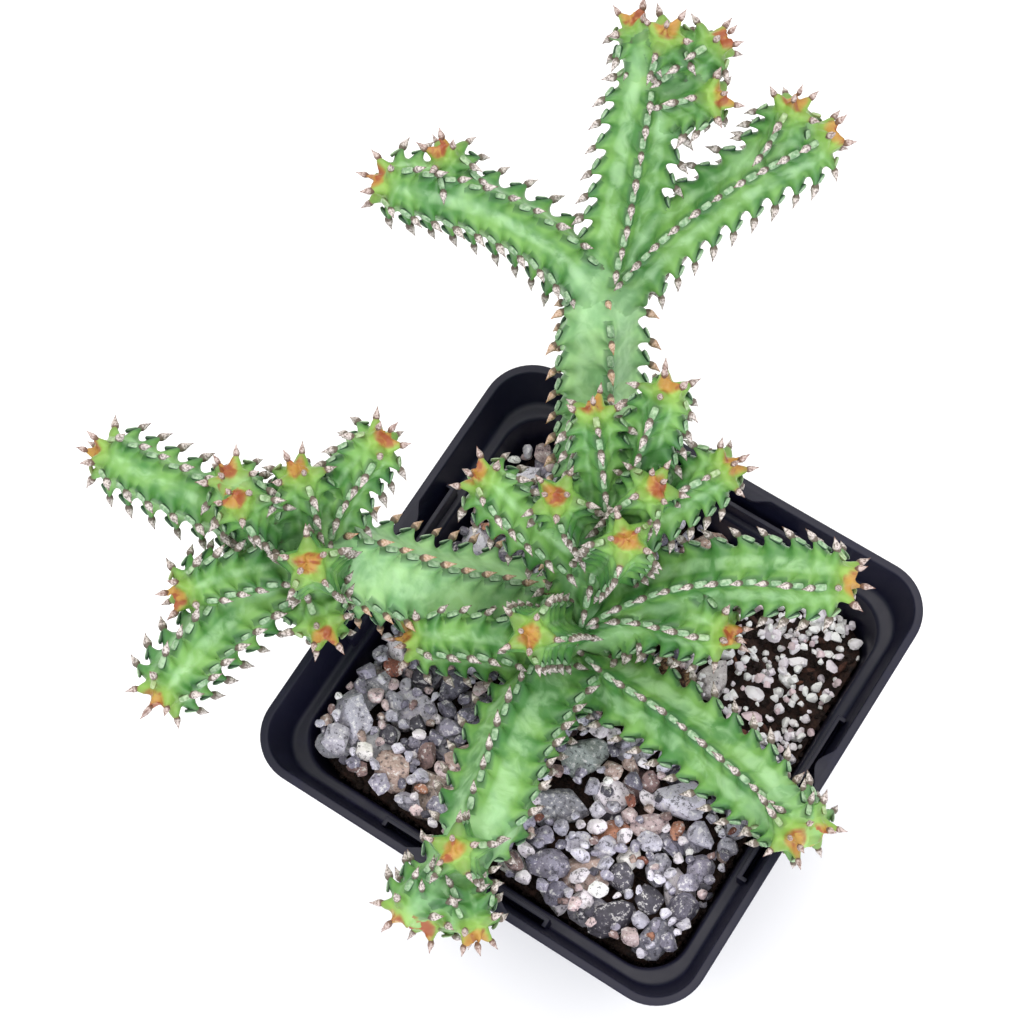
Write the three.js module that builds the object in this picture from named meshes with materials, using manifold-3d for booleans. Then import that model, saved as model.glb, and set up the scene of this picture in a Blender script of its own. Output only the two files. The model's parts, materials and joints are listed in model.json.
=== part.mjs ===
// An Edithcolea plant: spiny five-angled succulent stems that branch from one crown, rooted in
// potting mix under a gravel dressing, in a square moulded nursery pot.
// Frame: millimetres, +Z up, origin at the centre of the pot's underside, X and Y along its sides.
import * as THREE from 'three';
import { mergeVertices } from 'three/addons/utils/BufferGeometryUtils.js';
import Module from 'manifold-3d';

const wasm = await Module();
wasm.setup();

// ---------- driving sizes: the pot ----------
const RIM_SIDE = 100; // outer side of the square rim
const POT_HEIGHT = 90;
const BASE_SIDE = 68; // outer side of the underside
const RIM_CORNER = 10.5; // corner radius of the rim, seen from above
const BASE_CORNER = 8;
const WALL = 1.2;
const FLOOR = 1.6;
const LIP = 1.8; // flat top of the rim
const BAND_HEIGHT = 9; // outer band below the lip
const BAND_DRAFT = 2.4; // how far the band leans in on its way down
const LEDGE = 2.5; // step between the band and the wall below it
const DRAIN_BORE = 7;
const DRAIN_INSET = 13; // from the underside's edge to a drain hole's middle

// ---------- driving sizes: what stands inside the rim, at the middle of each side ----------
const POCKET_HALF = 18.5; // the side's middle to the rib that closes the pocket
const RAIL_INSET = 4.4; // rim edge to the rail's outer face
const RAIL_THICK = 0.9;
const RAIL_RISE = 5; // above the ledge
const TAB_OFFSET = 7.6; // the side's middle to the middle of a tab
const TAB_LENGTH = 10;
const TAB_REACH = 3.6; // from the rim's edge
const TAB_THICK = 1;

// ---------- driving sizes: the fill ----------
const SOIL_BELOW_RIM = 14; // rim to the gravel's surface at the middle
const GRAVEL_DEPTH = 7;
const SURFACE_FALL_Y = 0.1; // the surface falls away towards +Y
const SURFACE_FALL_X = 0.02;
const GRAVEL_BUMP = 1.1;
const BARE_CORNER = { x: 31, y: 24, radius: 17 }; // bare mix with no gravel, towards +X +Y
const BARE_DROP = 3; // how far the bare mix lies under the gravel's surface

// ---------- driving sizes: the stems ----------
const STEM_THICKNESS = 1; // multiplies every stem's own radius below
const RIDGES = 5;
const TOOTH_PITCH = 4.8; // along a ridge
const TOOTH_HEIGHT = 3;
const TOOTH_LEAN = 1.1; // how far a tooth's point is swept back towards the root
const TIP_TAPER = 1.2; // a tip rounds off over this many radii
const BARE_ROOT = 6; // a branch has no teeth this near its start, inside the crotch

// ---------- clearances ----------
const GAP = 0.3; // between pieces that touch or grow out of each other

const SOIL_LEVEL = POT_HEIGHT - SOIL_BELOW_RIM;
const RIM_HALF = RIM_SIDE / 2;
const LEDGE_LEVEL = POT_HEIGHT - BAND_HEIGHT;

// ---------- colours ----------
const STEM_GREEN = { color: 0x6fa04e, roughness: 0.45, metalness: 0 };
const OLD_GREEN = { color: 0x93b27f, roughness: 0.5, metalness: 0 };
const POT_PLASTIC = { color: 0x24243a, roughness: 0.4, metalness: 0 };
const POTTING_MIX = { color: 0x3a2a22, roughness: 0.95, metalness: 0 };
const GRANITE = { color: 0x9a97a0, roughness: 0.8, metalness: 0 };
const PALE_STONE = { color: 0xe2dedb, roughness: 0.75, metalness: 0 };
const WARM_STONE = { color: 0xa58c82, roughness: 0.8, metalness: 0 };
const CORK = { color: 0x9c7a58, roughness: 0.9, metalness: 0 };

// ---------- solids ----------
function solidFrom(geometry) {
  const bare = geometry.index ? geometry.toNonIndexed() : geometry.clone();
  bare.deleteAttribute('normal');
  bare.deleteAttribute('uv');
  const merged = mergeVertices(bare, 1e-4);
  return new wasm.Manifold(new wasm.Mesh({
    numProp: 3,
    vertProperties: merged.attributes.position.array,
    triVerts: new Uint32Array(merged.index.array),
  }));
}

function geometryFrom(solid) {
  const mesh = solid.getMesh();
  const geometry = new THREE.BufferGeometry();
  geometry.setAttribute('position', new THREE.BufferAttribute(mesh.vertProperties, 3));
  geometry.setIndex(new THREE.BufferAttribute(mesh.triVerts, 1));
  geometry.computeVertexNormals();
  return geometry;
}

// The biggest body of a solid: a trimmed piece may leave loose slivers behind its neighbour.
function mainBody(solid) {
  const bodies = solid.decompose();
  return bodies.reduce((best, next) => (next.volume() > best.volume() ? next : best));
}

// A closed solid through rings of equal length, each end closed by a fan from its middle point.
function loft(rings, startMiddle, endMiddle) {
  const points = [...rings.flat(), startMiddle, endMiddle];
  const around = rings[0].length;
  const start = points.length - 2;
  const end = points.length - 1;
  const last = (rings.length - 1) * around;
  const faces = [];
  for (let k = 0; k < around; k += 1) {
    const next = (k + 1) % around;
    faces.push(start, next, k, end, last + k, last + next);
    for (let i = 0; i < last; i += around) {
      faces.push(i + k, i + next, i + around + k);
      faces.push(i + next, i + around + next, i + around + k);
    }
  }
  const geometry = new THREE.BufferGeometry().setFromPoints(points);
  geometry.setIndex(faces);
  return solidFrom(geometry);
}

// A small repeatable number from 0 to 1 for each whole number.
function scatter(n) {
  const value = Math.sin(n * 12.9898 + 4.1414) * 43758.5453;
  return value - Math.floor(value);
}

// ---------- the pot ----------
const CORNER_STEPS = 5;

function squareRing(half, corner, heightAt) {
  const ring = [];
  for (let quarter = 0; quarter < 4; quarter += 1) {
    for (let step = 0; step <= CORNER_STEPS; step += 1) {
      const angle = (quarter + step / CORNER_STEPS) * Math.PI / 2;
      const middle = (quarter + 0.5) * Math.PI / 2;
      const inset = (half - corner) * Math.SQRT2;
      const x = Math.cos(middle) * inset + Math.cos(angle) * corner;
      const y = Math.sin(middle) * inset + Math.sin(angle) * corner;
      ring.push(new THREE.Vector3(x, y, heightAt(x, y)));
    }
  }
  return ring;
}

const flat = (height) => () => height;

// The pot wall's inner half side and corner radius at a height, below the ledge.
function innerWall(height) {
  const up = (height - FLOOR) / (LEDGE_LEVEL - FLOOR);
  const top = RIM_HALF - LIP - BAND_DRAFT - LEDGE;
  const bottom = BASE_SIDE / 2 - WALL;
  const topCorner = RIM_CORNER - LIP;
  return {
    half: bottom + (top - bottom) * up,
    corner: BASE_CORNER - WALL + (topCorner - BASE_CORNER + WALL) * up,
  };
}

function potSolid() {
  const wallTop = innerWall(LEDGE_LEVEL);
  const wallBottom = innerWall(FLOOR);
  const bandFoot = RIM_HALF - BAND_DRAFT;
  const rim = RIM_CORNER;
  const profile = [
    [BASE_SIDE / 2, BASE_CORNER, 0],
    [wallTop.half + WALL, wallTop.corner + WALL, LEDGE_LEVEL - WALL],
    [bandFoot, rim, LEDGE_LEVEL - WALL],
    [RIM_HALF, rim, POT_HEIGHT],
    [RIM_HALF - LIP, rim - LIP, POT_HEIGHT],
    [bandFoot - LIP, rim - LIP, LEDGE_LEVEL],
    [wallTop.half, wallTop.corner, LEDGE_LEVEL],
    [wallBottom.half, wallBottom.corner, FLOOR],
  ];
  const rings = profile.map(([half, corner, height]) => squareRing(half, corner, flat(height)));
  return loft(rings, new THREE.Vector3(0, 0, 0), new THREE.Vector3(0, 0, FLOOR));
}

function block(size, centre) {
  return solidFrom(new THREE.BoxGeometry(...size).translate(...centre));
}

// A tab is a lip that widens in one smooth wave and comes back, extruded to its thickness.
function tabSolid(middle) {
  const inner = RIM_HALF - TAB_REACH;
  const outer = RIM_HALF - LIP / 2;
  const outline = new THREE.Shape();
  const half = TAB_LENGTH / 2;
  outline.moveTo(middle - half, outer);
  outline.lineTo(middle - half, RIM_HALF - LIP);
  outline.bezierCurveTo(middle - half / 2, RIM_HALF - LIP, middle - half / 2, inner, middle, inner);
  outline.bezierCurveTo(middle + half / 2, inner, middle + half / 2, RIM_HALF - LIP,
    middle + half, RIM_HALF - LIP);
  outline.lineTo(middle + half, outer);
  outline.closePath();
  const shape = new THREE.ExtrudeGeometry(outline,
    { depth: TAB_THICK, bevelEnabled: false, curveSegments: 4 });
  return solidFrom(shape.translate(0, 0, POT_HEIGHT - TAB_THICK));
}

// A rib that closes the pocket: upright at the rail, and leaning with the band where it meets it.
function ribSolid(middle, railMiddle, foot, top) {
  const bandAt = (height) => RIM_HALF - LIP / 2 - BAND_DRAFT * (POT_HEIGHT - height) / BAND_HEIGHT;
  const outline = new THREE.Shape([
    new THREE.Vector2(railMiddle, foot),
    new THREE.Vector2(bandAt(foot), foot),
    new THREE.Vector2(bandAt(top), top),
    new THREE.Vector2(railMiddle, top),
  ]);
  const plate = new THREE.ExtrudeGeometry(outline, { depth: RAIL_THICK, bevelEnabled: false });
  plate.rotateX(Math.PI / 2).rotateZ(Math.PI / 2);
  return solidFrom(plate.translate(middle - RAIL_THICK / 2, 0, 0));
}

// Rail, ribs and tabs of the side that faces +Y, before it is turned to the other three.
function sideFittings() {
  const railMiddle = RIM_HALF - RAIL_INSET - RAIL_THICK / 2;
  const foot = LEDGE_LEVEL - WALL / 2;
  const railTop = LEDGE_LEVEL + RAIL_RISE;
  const rise = railTop - foot;
  let fittings = block([POCKET_HALF * 2 + RAIL_THICK, RAIL_THICK, rise],
    [0, railMiddle, foot + rise / 2]);
  for (const side of [-1, 1]) {
    const rib = ribSolid(side * POCKET_HALF, railMiddle, foot, railTop);
    fittings = fittings.add(rib).add(tabSolid(side * TAB_OFFSET));
  }
  return fittings;
}

function nurseryPot() {
  let pot = potSolid();
  const fittings = sideFittings();
  for (let quarter = 0; quarter < 4; quarter += 1) {
    pot = pot.add(fittings.rotate([0, 0, quarter * 90]));
  }
  const inset = BASE_SIDE / 2 - DRAIN_INSET;
  for (const [x, y] of [[-1, -1], [1, -1], [1, 1], [-1, 1]]) {
    const drill = new THREE.CylinderGeometry(DRAIN_BORE / 2, DRAIN_BORE / 2, FLOOR * 4, 16);
    pot = pot.subtract(solidFrom(drill.rotateX(Math.PI / 2).translate(x * inset, y * inset, 0)));
  }
  return pot;
}

// ---------- the fill ----------
function surfaceRise(x, y) {
  return -SURFACE_FALL_Y * y - SURFACE_FALL_X * x;
}

function bareShare(x, y) {
  const away = Math.hypot(x - BARE_CORNER.x, y - BARE_CORNER.y) / BARE_CORNER.radius;
  return THREE.MathUtils.clamp((1.25 - away) / 0.35, 0, 1);
}

function mixTop(x, y) {
  const covered = SOIL_LEVEL - GRAVEL_DEPTH;
  const bare = SOIL_LEVEL - BARE_DROP;
  return surfaceRise(x, y) + covered + (bare - covered) * bareShare(x, y);
}

const BUMP_SPACING = 8;

function gravelTop(x, y) {
  const cell = Math.round(x / BUMP_SPACING) * 31 + Math.round(y / BUMP_SPACING) * 17;
  return SOIL_LEVEL + surfaceRise(x, y) + GRAVEL_BUMP * (scatter(cell) - 0.5) * 2;
}

// The room inside the pot up to a given top: rings of shrinking squares carry the top's height.
const TOP_RINGS = 5;

function fillUpTo(topAt, bottom) {
  const low = innerWall(bottom);
  const seat = innerWall(SOIL_LEVEL - SOIL_BELOW_RIM);
  const rings = [
    squareRing(low.half - GAP, low.corner, flat(bottom)),
    squareRing(seat.half - GAP, seat.corner, flat(SOIL_LEVEL - SOIL_BELOW_RIM)),
  ];
  for (let step = 0; step < TOP_RINGS; step += 1) {
    const share = 1 - step / TOP_RINGS;
    rings.push(squareRing((seat.half - GAP) * share, seat.corner * share, topAt));
  }
  return loft(rings, new THREE.Vector3(0, 0, bottom), new THREE.Vector3(0, 0, topAt(0, 0)));
}

// The same room with straight sides above the ledge, which the loose stones stay in.
function roomSolid() {
  const low = innerWall(FLOOR + GAP);
  const high = innerWall(LEDGE_LEVEL);
  const rings = [
    squareRing(low.half - GAP, low.corner, flat(FLOOR + GAP)),
    squareRing(high.half - GAP, high.corner, flat(LEDGE_LEVEL)),
    squareRing(high.half - GAP, high.corner, flat(POT_HEIGHT * 2)),
  ];
  return loft(rings, new THREE.Vector3(0, 0, FLOOR + GAP), new THREE.Vector3(0, 0, POT_HEIGHT * 2));
}

// ---------- the stems ----------
// Each stem: name, radius over its ridges, and points along its middle as [x, y, rise], with x
// and y from the pot's middle and rise above the gravel. A later stem grows out of an earlier one.
const STEMS = [
  ['crown_stem', 6.5, [[-4.5, 4.5, -5], [-6, 5.5, 8], [-7, 7, 21]]],
  ['centre_stem', 5.8, [[-7, 6, 15], [-8, 13, 28], [-9.5, 20.5, 38]]],
  ['centre_north_branch', 3.7, [[-9.5, 19.5, 34], [-11.5, 24, 46], [-14.5, 28, 54], [-18, 32.5, 61]]],
  ['centre_north_east_branch', 3.9, [[-9, 20, 33], [-6.5, 29.5, 46], [-7, 36, 56], [-7.5, 42, 65]]],
  ['centre_east_branch', 4.2, [[-8, 18, 31], [-1.5, 26.5, 42], [3.5, 33.5, 48], [8, 38.5, 53]]],
  ['centre_west_branch', 4.2, [[-8, 15, 28], [-17, 12.5, 38], [-25, 12.5, 45], [-31.5, 13, 51]]],
  ['centre_west_bud', 3.6, [[-9.5, 17, 32], [-14, 17, 45], [-16, 16, 55]]],
  ['centre_east_bud', 3.4, [[-8, 20, 34], [-4, 24, 48], [-0.5, 26.5, 58]]],
  ['centre_upright_branch', 3.8, [[-7, 14, 28], [-2.5, 15.5, 43], [0, 15.5, 56]]],
  ['east_branch', 5.4, [[-5, 6, 15], [2.5, 14.5, 27], [11.5, 22, 34], [23, 28, 40], [37, 33, 45]]],
  ['east_lower_branch', 4.5, [[-5, 6, 13], [4, 12, 24], [13, 14, 30], [22, 15, 35]]],
  ['west_low_branch', 4.7, [[-6, 4, 11], [-12.5, -4, 19], [-22, -9.5, 24], [-31, -16, 28]]],
  ['west_low_bud', 3.8, [[-6.5, 4, 16], [-8, -1.5, 32], [-7.5, -7, 46]]],
  ['south_west_stem', 7, [[-6, 3, 6], [-5, -8.5, 16], [-3.5, -22, 23], [0.5, -35, 28], [2, -43.5, 32]]],
  ['south_west_tip', 5, [[2, -39, 30], [2.5, -50, 33], [3.5, -61, 36]]],
  ['south_west_left_bud', 3.6, [[2.5, -49, 33], [0.5, -56, 37], [-0.5, -62.5, 38]]],
  ['south_west_right_bud', 3.6, [[2.5, -48, 33], [8.5, -53.5, 35], [12.5, -57.5, 36]]],
  ['south_west_top_bud', 3.2, [[2.5, -43, 31], [3, -46.5, 40], [3, -48, 48]]],
  ['south_east_stem', 6, [[-3, 4.5, 6], [7.5, 0.5, 14], [21, -1, 19], [36.5, -4, 23], [47, -6.5, 26]]],
  ['south_east_left_bud', 4, [[43, -5.5, 25], [49.5, -9, 30], [52.5, -11.5, 34]]],
  ['south_east_right_bud', 4, [[43, -5.5, 25], [49.5, -6, 28], [55, -7.5, 31]]],
  ['west_stem', 7.6, [[-7, 5.5, 5], [-23, 2.5, 13], [-34, -4.5, 23], [-45, -10, 34], [-53.5, -14, 43]]],
  ['west_far_branch', 4.6, [[-51.5, -13, 41], [-66, -16.5, 48], [-79, -19.5, 53], [-92.5, -21.5, 58]]],
  ['west_north_branch', 3.9, [[-50, -12.5, 38], [-51.5, -6, 47], [-50.5, 1, 54], [-47.5, 7.5, 61]]],
  ['west_middle_bud', 3.8, [[-52, -13, 41], [-55, -10, 52], [-57.5, -6, 61]]],
  ['west_back_bud', 3.6, [[-54, -14, 43], [-62, -15.5, 52], [-68, -13.5, 62]]],
  ['west_upright_branch', 3.8, [[-54, -14, 42], [-60, -15.5, 52], [-63.5, -17, 63]]],
  ['west_front_upright', 3.8, [[-48.5, -13.5, 38], [-47, -18, 50], [-45.5, -20, 62]]],
  ['west_side_branch', 4.2, [[-52, -13, 40], [-56, -21.5, 45], [-61, -28.5, 49], [-65, -36, 53]]],
  ['west_south_branch', 5, [[-52, -13, 38], [-55.5, -27.5, 43], [-57.5, -40.5, 47], [-57.5, -54, 51]]],
  ['west_south_bud', 4.1, [[-50, -13, 37], [-46.5, -20.5, 42], [-40, -27, 46]]],
  ['north_stem', 7, [[-6, 6.5, 5], [-14, 21, 7], [-20.5, 33.5, 15], [-25, 43, 28], [-29.5, 51.5, 41],
    [-33, 58, 49]]],
  ['north_west_branch', 4.8, [[-31.5, 56, 46], [-44, 58, 54], [-58, 55.5, 61], [-74.5, 47.5, 69]]],
  ['north_west_bud', 3.3, [[-58.5, 55.5, 61], [-63, 56.5, 66], [-67, 58, 71]]],
  ['north_middle_branch', 5.6, [[-31.5, 56, 46], [-34.5, 69.5, 58], [-37, 79, 70], [-40, 89, 80]]],
  ['north_middle_left_bud', 3.3, [[-39, 85.5, 77], [-42.5, 89, 83], [-45.5, 92, 87]]],
  ['north_middle_right_bud', 3.3, [[-39, 86.5, 77], [-38.5, 90, 84], [-38.5, 92, 90]]],
  ['north_middle_far_bud', 3.6, [[-38.5, 85, 75], [-34, 92, 81], [-30.5, 97.5, 85]]],
  ['north_middle_low_bud', 3.2, [[-37.5, 81.5, 73], [-30.5, 86.5, 78], [-25.5, 89, 82]]],
  ['north_east_branch', 4.8, [[-31, 56, 46], [-26, 70.5, 55], [-18.5, 83.5, 63], [-7, 98, 71]]],
  ['north_east_bud', 3.4, [[-17.5, 85.5, 64], [-15, 92.5, 71], [-14.5, 97, 77]]],
];
const OLD_STEMS = new Set(['crown_stem', 'west_stem', 'north_stem']);

// A five-angled stem: rings half a tooth pitch apart, with one point on each ridge, and every
// other point of a ridge stands out as a tooth. The same stem grown by GAP trims its neighbours.
function stemSolid([, radius, points], grow) {
  const places = points.map(([x, y, rise]) => new THREE.Vector3(x, y, SOIL_LEVEL + rise));
  const path = new THREE.CatmullRomCurve3(places, false, 'centripetal');
  const length = path.getLength();
  const steps = Math.max(4, Math.round(length / (TOOTH_PITCH / 2)));
  const frames = path.computeFrenetFrames(steps, false);
  const thick = radius * STEM_THICKNESS;
  const rings = [];
  for (let i = 0; i < steps; i += 1) {
    const middle = path.getPointAt(i / steps);
    const toTip = length * (1 - i / steps);
    const short = 1 - Math.min(toTip / (TIP_TAPER * thick), 1);
    const swell = Math.sqrt(1 - short * short);
    const ring = [];
    for (let ridge = 0; ridge < RIDGES; ridge += 1) {
      const angle = ridge * 2 * Math.PI / RIDGES;
      const toothed = length - toTip > BARE_ROOT && (i + ridge) % 2 === 0;
      const tooth = toothed ? TOOTH_HEIGHT * swell + grow : 0;
      const out = thick * swell + tooth + grow;
      ring.push(middle.clone()
        .addScaledVector(frames.normals[i], Math.cos(angle) * out)
        .addScaledVector(frames.binormals[i], Math.sin(angle) * out)
        .addScaledVector(frames.tangents[i], toothed ? -TOOTH_LEAN * swell : 0));
    }
    rings.push(ring);
  }
  const root = path.getPointAt(0).addScaledVector(frames.tangents[0], -grow);
  const tip = path.getPointAt(1).addScaledVector(frames.tangents[steps], grow * 2);
  return loft(rings, root, tip);
}

// ---------- stones ----------
// Each stone: name, place [x, y], sizes [long, wide, tall], turn about Z in degrees, colour.
// A stone that reaches the pot's wall is trimmed by the room inside it.
const STONES = [
  ['long_granite_stone', [-38, -26], [15, 7, 6], 62, GRANITE],
  ['white_speckled_stone', [-30, -33], [10, 8, 6], 40, PALE_STONE],
  ['corner_granite_stone', [-37, -37], [9, 7, 5], 15, GRANITE],
  ['brown_granite_stone', [-16, -36], [12, 10.5, 7], 20, WARM_STONE],
  ['green_granite_stone', [5.5, -13], [11, 8.5, 6], 30, GRANITE],
  ['large_granite_stone', [7, -24], [12.5, 10.5, 7], 10, GRANITE],
  ['dark_slate_stone', [5, -32], [10, 5, 4], 150, GRANITE],
  ['white_quartz_stone', [6, -39], [8, 6, 5], 5, PALE_STONE],
  ['small_quartz_stone', [24, -26], [7, 5, 4], 70, PALE_STONE],
  ['pale_granite_stone', [19, 14], [11, 8, 6], 100, PALE_STONE],
  ['rim_granite_stone', [37, -37], [10, 8, 6], 60, GRANITE],
  ['round_granite_stone', [-33, 5], [7, 7, 5], 0, GRANITE],
  ['pink_granite_stone', [3, 39], [8, 7, 6], 0, WARM_STONE],
];
const STONE_SINK = 0.5; // how far a stone's middle lies under the gravel's surface

function stoneSolid([, [x, y], [long, wide, tall], turn], seed, grow) {
  const stone = new THREE.DodecahedronGeometry(1, 0);
  const place = stone.attributes.position;
  for (let i = 0; i < place.count; i += 1) {
    const spot = [place.getX(i), place.getY(i), place.getZ(i)].map((v) => Math.round(v * 50));
    const rough = 0.84 + 0.16 * scatter(seed * 7 + spot[0] * 3 + spot[1] * 5 + spot[2] * 11);
    place.setXYZ(i, place.getX(i) * rough * (long / 2 + grow),
      place.getY(i) * rough * (wide / 2 + grow), place.getZ(i) * rough * (tall / 2 + grow));
  }
  const height = SOIL_LEVEL + surfaceRise(x, y) - STONE_SINK;
  return solidFrom(stone.rotateZ(THREE.MathUtils.degToRad(turn)).translate(x, y, height));
}

// ---------- the old stump ----------
const STUMP = { x: 12, y: 8, lump: 3.4 };
const STUMP_LUMPS = [[0, 0, 1], [2.6, 1.8, 3], [-1.5, 2.6, 3.4], [1.2, -2.2, 3], [3.6, -0.8, 0.6]];

function stumpSolid(grow) {
  return STUMP_LUMPS.map(([x, y, z], i) => {
    const lump = new THREE.DodecahedronGeometry(STUMP.lump * (0.8 + 0.3 * scatter(i)) + grow, 0);
    const rise = SOIL_LEVEL + surfaceRise(STUMP.x, STUMP.y) + z;
    return solidFrom(lump.translate(STUMP.x + x, STUMP.y + y, rise));
  }).reduce((joined, lump) => joined.add(lump));
}

// ---------- assembly ----------
const plant = new THREE.Group();

function place(name, solid, look) {
  const mesh = new THREE.Mesh(geometryFrom(solid), new THREE.MeshStandardMaterial(look));
  mesh.name = name;
  plant.add(mesh);
}

place('nursery_pot', nurseryPot(), POT_PLASTIC);

// What is already taken: each new piece is trimmed by it, so neighbours meet with a gap.
let taken = null;
function claim(name, solid, grown, look) {
  place(name, taken ? mainBody(solid.subtract(taken)) : solid, look);
  taken = taken ? taken.add(grown) : grown;
}

for (const stem of STEMS) {
  const look = OLD_STEMS.has(stem[0]) ? OLD_GREEN : STEM_GREEN;
  claim(stem[0], stemSolid(stem, 0), stemSolid(stem, GAP), look);
}
claim('old_stump', stumpSolid(0), stumpSolid(GAP), CORK);
const room = roomSolid();
STONES.forEach((stone, i) => {
  claim(stone[0], stoneSolid(stone, i, 0).intersect(room), stoneSolid(stone, i, GAP), stone[4]);
});

const mixBelow = fillUpTo((x, y) => mixTop(x, y), FLOOR + GAP);
const clearOfMix = fillUpTo((x, y) => mixTop(x, y) + GAP, FLOOR + GAP);
const bareHole = solidFrom(new THREE.CylinderGeometry(BARE_CORNER.radius, BARE_CORNER.radius,
  POT_HEIGHT, 20).rotateX(Math.PI / 2).translate(BARE_CORNER.x, BARE_CORNER.y, POT_HEIGHT));
const dressing = fillUpTo(gravelTop, FLOOR + GAP).subtract(clearOfMix).subtract(bareHole);
place('potting_mix', mainBody(mixBelow.subtract(taken)), POTTING_MIX);
place('gravel_dressing', mainBody(dressing.subtract(taken)), GRANITE);

export default plant;
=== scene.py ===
# %% [markdown]
# # A potted Edithcolea, built in Blender around its CAD frame
# The plant is a carrion flower: a leafless succulent whose five-angled stems carry rows of
# hard-tipped teeth. It stands in a square moulded nursery pot, in potting mix under a dressing
# of mixed gravel. Each cell below makes one piece or one finish. All sizes are in millimetres
# until a mesh is made, because that is how a maker thinks about a plant this small.

import json
import math

import bmesh
import bpy
import numpy as np
from mathutils import Matrix, Vector

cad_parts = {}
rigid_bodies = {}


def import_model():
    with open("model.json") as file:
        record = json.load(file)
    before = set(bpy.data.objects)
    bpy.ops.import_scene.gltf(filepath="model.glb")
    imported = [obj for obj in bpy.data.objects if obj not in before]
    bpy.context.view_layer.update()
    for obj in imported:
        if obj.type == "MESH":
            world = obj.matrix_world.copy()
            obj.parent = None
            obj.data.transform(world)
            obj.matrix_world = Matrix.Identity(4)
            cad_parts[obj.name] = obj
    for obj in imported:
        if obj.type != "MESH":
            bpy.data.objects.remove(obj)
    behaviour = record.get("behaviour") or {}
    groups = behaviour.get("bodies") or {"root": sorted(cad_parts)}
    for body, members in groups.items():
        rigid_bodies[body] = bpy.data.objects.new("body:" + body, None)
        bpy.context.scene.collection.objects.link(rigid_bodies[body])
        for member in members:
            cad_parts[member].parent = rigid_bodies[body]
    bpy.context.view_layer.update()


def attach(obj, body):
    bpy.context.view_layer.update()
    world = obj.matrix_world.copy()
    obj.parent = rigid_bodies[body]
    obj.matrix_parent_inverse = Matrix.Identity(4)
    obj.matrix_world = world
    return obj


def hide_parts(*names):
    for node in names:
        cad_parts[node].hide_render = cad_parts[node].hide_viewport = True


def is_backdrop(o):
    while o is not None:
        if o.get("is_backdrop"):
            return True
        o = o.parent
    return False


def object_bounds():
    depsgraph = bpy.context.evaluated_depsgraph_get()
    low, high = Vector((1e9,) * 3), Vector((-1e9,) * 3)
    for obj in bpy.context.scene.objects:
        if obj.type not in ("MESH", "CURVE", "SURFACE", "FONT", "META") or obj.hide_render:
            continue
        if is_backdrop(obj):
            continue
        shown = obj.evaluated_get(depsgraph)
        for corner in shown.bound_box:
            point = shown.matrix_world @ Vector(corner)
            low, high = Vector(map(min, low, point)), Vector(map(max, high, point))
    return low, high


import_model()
MM = 0.001

# %% [markdown]
# ## Small tools
# `linear` turns a colour written as sRGB hex into the linear values that Blender's sockets
# expect. `add` puts one node into a tree. Its settings are the node's own options, and `wire`
# gives each input either a value or another node's output, which is then linked. Every node in
# this lesson, for materials and for geometry, is made with that one function. `geometry_tree`
# starts a tree for shapes with the named inputs that a modifier will show.

# %% Colours, nodes and trees
def linear(hex_colour):
    parts = [int(hex_colour[i:i + 2], 16) / 255 for i in (1, 3, 5)]
    lit = [v / 12.92 if v <= 0.04045 else ((v + 0.055) / 1.055) ** 2.4 for v in parts]
    return (*lit, 1.0)


def wire(tree, node, inputs):
    for socket, value in inputs.items():
        if isinstance(value, bpy.types.Node):
            value = value.outputs[0]
        if isinstance(value, bpy.types.NodeSocket):
            tree.links.new(value, node.inputs[socket])
        else:
            node.inputs[socket].default_value = value


def add(tree, kind, settings=None, inputs=None):
    made = tree.nodes.new(kind)
    for name, value in (settings or {}).items():
        setattr(made, name, value)
    wire(tree, made, inputs or {})
    return made


def geometry_tree(name, inputs):
    """An empty Geometry Nodes tree. An input is given by its start value or its kind's name."""
    tree = bpy.data.node_groups.new(name, "GeometryNodeTree")
    for title, start in {"Geometry": "Geometry", **inputs, "Finish": "Material"}.items():
        kind = start if isinstance(start, str) else {int: "Int", float: "Float"}[type(start)]
        socket = tree.interface.new_socket(title, in_out="INPUT", socket_type="NodeSocket" + kind)
        if not isinstance(start, str):
            socket.default_value = start
    tree.interface.new_socket("Geometry", in_out="OUTPUT", socket_type="NodeSocketGeometry")
    return tree, add(tree, "NodeGroupInput").outputs


# kinds of node and their settings that come back often. A noise's Scale is counted per metre, so
# it is 1000 over the size of the noise's patches in millimetres
MATH, VECTOR_MATH = "ShaderNodeMath", "ShaderNodeVectorMath"
READ, STORE = "GeometryNodeInputNamedAttribute", "GeometryNodeStoreNamedAttribute"
ATTRIBUTE, NOISE = "ShaderNodeAttribute", "ShaderNodeTexNoise"
REAL = {"data_type": "FLOAT"}
VECTOR = {"data_type": "FLOAT_VECTOR"}
PLUS = {"operation": "ADD"}
MINUS = {"operation": "SUBTRACT"}
TIMES = {"operation": "MULTIPLY"}
TIMES_PLUS = {"operation": "MULTIPLY_ADD"}
OVER = {"operation": "DIVIDE"}
# a colour mix: input 0 is the share, 6 and 7 the two colours, and the result is output 2
MIX, RGBA = "ShaderNodeMix", {"data_type": "RGBA"}
# a soft ramp: inputs 0 to 2 are the value and where it starts and ends, 3 and 4 what it gives there
RANGE, SMOOTH = "ShaderNodeMapRange", {"interpolation_type": "SMOOTHSTEP"}

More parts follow.
